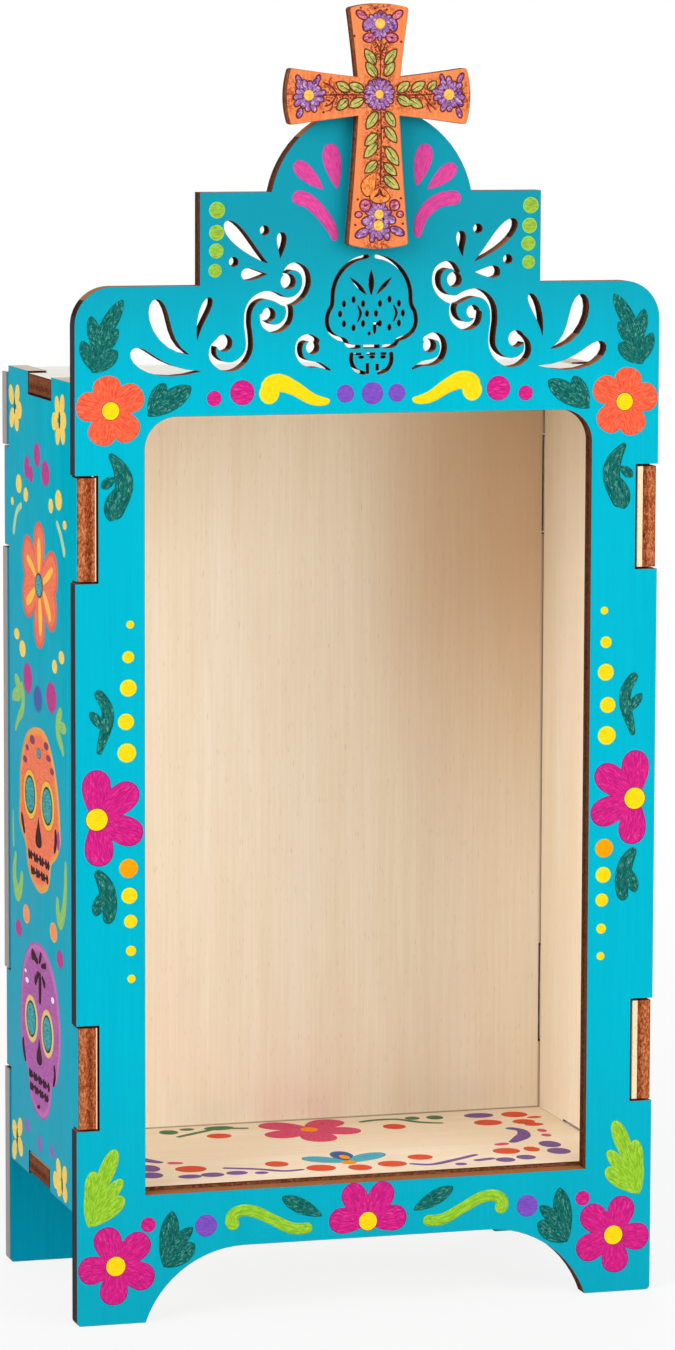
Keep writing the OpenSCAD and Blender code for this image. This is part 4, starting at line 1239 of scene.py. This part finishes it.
cross_art.rib((0.8, 280.3, 0.4), (0.4, 278.9, 0.7), (-0.7, 278.1, 0.3))
cross_art.rib((0.9, 280, 0.5), (1.3, 278.7, 0.6), (2.3, 278.2, 0.3))

# %% Cross: leaves, stems and curls
for tail, tip, width in (
    ((-0.5, 310.4), (-3.1, 314), 1.8), ((2.0, 310.4), (4.9, 314), 1.8), ((-0.1, 307.3), (-2.8, 310.8), 1.8),
    ((2.0, 307.6), (4.3, 310.8), 1.8), ((-7.0, 304), (-10.3, 305.9), 1.8), ((-3.4, 304), (-7.1, 305.6), 1.8),
    ((-3.4, 301.9), (-7.1, 300.1), 1.8), ((-7.5, 301.9), (-10.1, 299.4), 1.8), ((5.2, 303.7), (8.2, 306), 1.8),
    ((8.8, 304), (12.2, 306), 1.8), ((13.1, 304.2), (15.0, 306.2), 1.5), ((5.2, 302.4), (8.7, 300.5), 1.9),
    ((8.2, 301.9), (11.6, 299.9), 1.8), ((0.0, 298.8), (-2.6, 294.7), 2.0), ((0.0, 293.5), (-3.0, 290.7), 1.8),
    ((0.0, 291.2), (-3.2, 287.7), 1.9), ((0.0, 286.8), (-3.0, 284.1), 1.8), ((2.3, 298.8), (4.6, 295.2), 1.8),
    ((2.1, 295.2), (5.0, 291.4), 1.8), ((2.3, 290.3), (5.5, 285.8), 2.1), ((1.9, 286.3), (5.0, 283.4), 1.7),
    ((1.9, 283.2), (5.7, 280), 1.9),
):
    cross_art.leaf(tail, tip, width)
stems = cross_art.under
for line in (
    ((1, 299.2, 0.3), (1.1, 290, 0.36), (0.9, 281, 0.4)), ((0.8, 307, 0.3), (0.9, 315.4, 0.3)),
    ((1, 312.5, 0.3), (-0.2, 315.6, 0.3), (-1.4, 315.2, 0.2)), ((1, 312.5, 0.3), (2.3, 315.6, 0.3), (3.4, 315.2, 0.2)),
    ((-3.2, 302.9, 0.3), (-8, 303, 0.4), (-13.2, 302.9, 0.3)), ((4.6, 303.1, 0.3), (10, 302.9, 0.4),
     (14.4, 303.2, 0.3)),
    ((-10.2, 303.2, 0.3), (-11.6, 305, 0.4), (-13.8, 306, 0.3)), ((-10.2, 302.8, 0.3), (-11.8, 300.8, 0.4),
     (-13.4, 300.2, 0.3)),
    ((-11.2, 304.2, 0.2), (-12.2, 306.2, 0.3), (-11.4, 307.2, 0.2)), ((-11, 302.2, 0.2), (-11.6, 299.6, 0.3),
     (-13, 299, 0.2)),
    ((12, 302.8, 0.3), (13.2, 301, 0.4), (15, 299.4, 0.3)), ((12.8, 302, 0.2), (13, 300, 0.3), (13.8, 298.6, 0.2)),
):
    stems.stroke(*line)
for k in range(40):  # stippled dots along the stems
    turn = 2.4 * k
    stems.dot(1 + 0.8 * math.cos(turn), 280.6 + 0.46 * k, 0.24).dot(1 + 1.5 * math.cos(turn), 311.4 + 0.1 * k, 0.2)
    stems.dot(-3.6 - 0.26 * k, 302.9 + 0.7 * math.cos(turn), 0.2).dot(4.6 + 0.26 * k, 303 + 0.7 * math.cos(turn), 0.2)
for x, y in ((-5.8, 317.2), (6.1, 315.8), (-12.2, 301.6), (-10.4, 300), (13.4, 301.8), (14.8, 300.8), (-13.6, 298.8),
             (-4.8, 277.6), (6.2, 277.8), (-5.4, 271.4), (6.7, 271.6), (-4.2, 324), (2.4, 323.6), (-0.6, 323.8)):
    stems.dot(x, y, 0.3)
hang(cross_art.under, "cross_engraved_lines", "cross", "cross_line")
for paint, marks in cross_art.colours.items():
    hang(marks, f"cross_{paint}_marks", "cross", CROSS_PAINTS[paint])
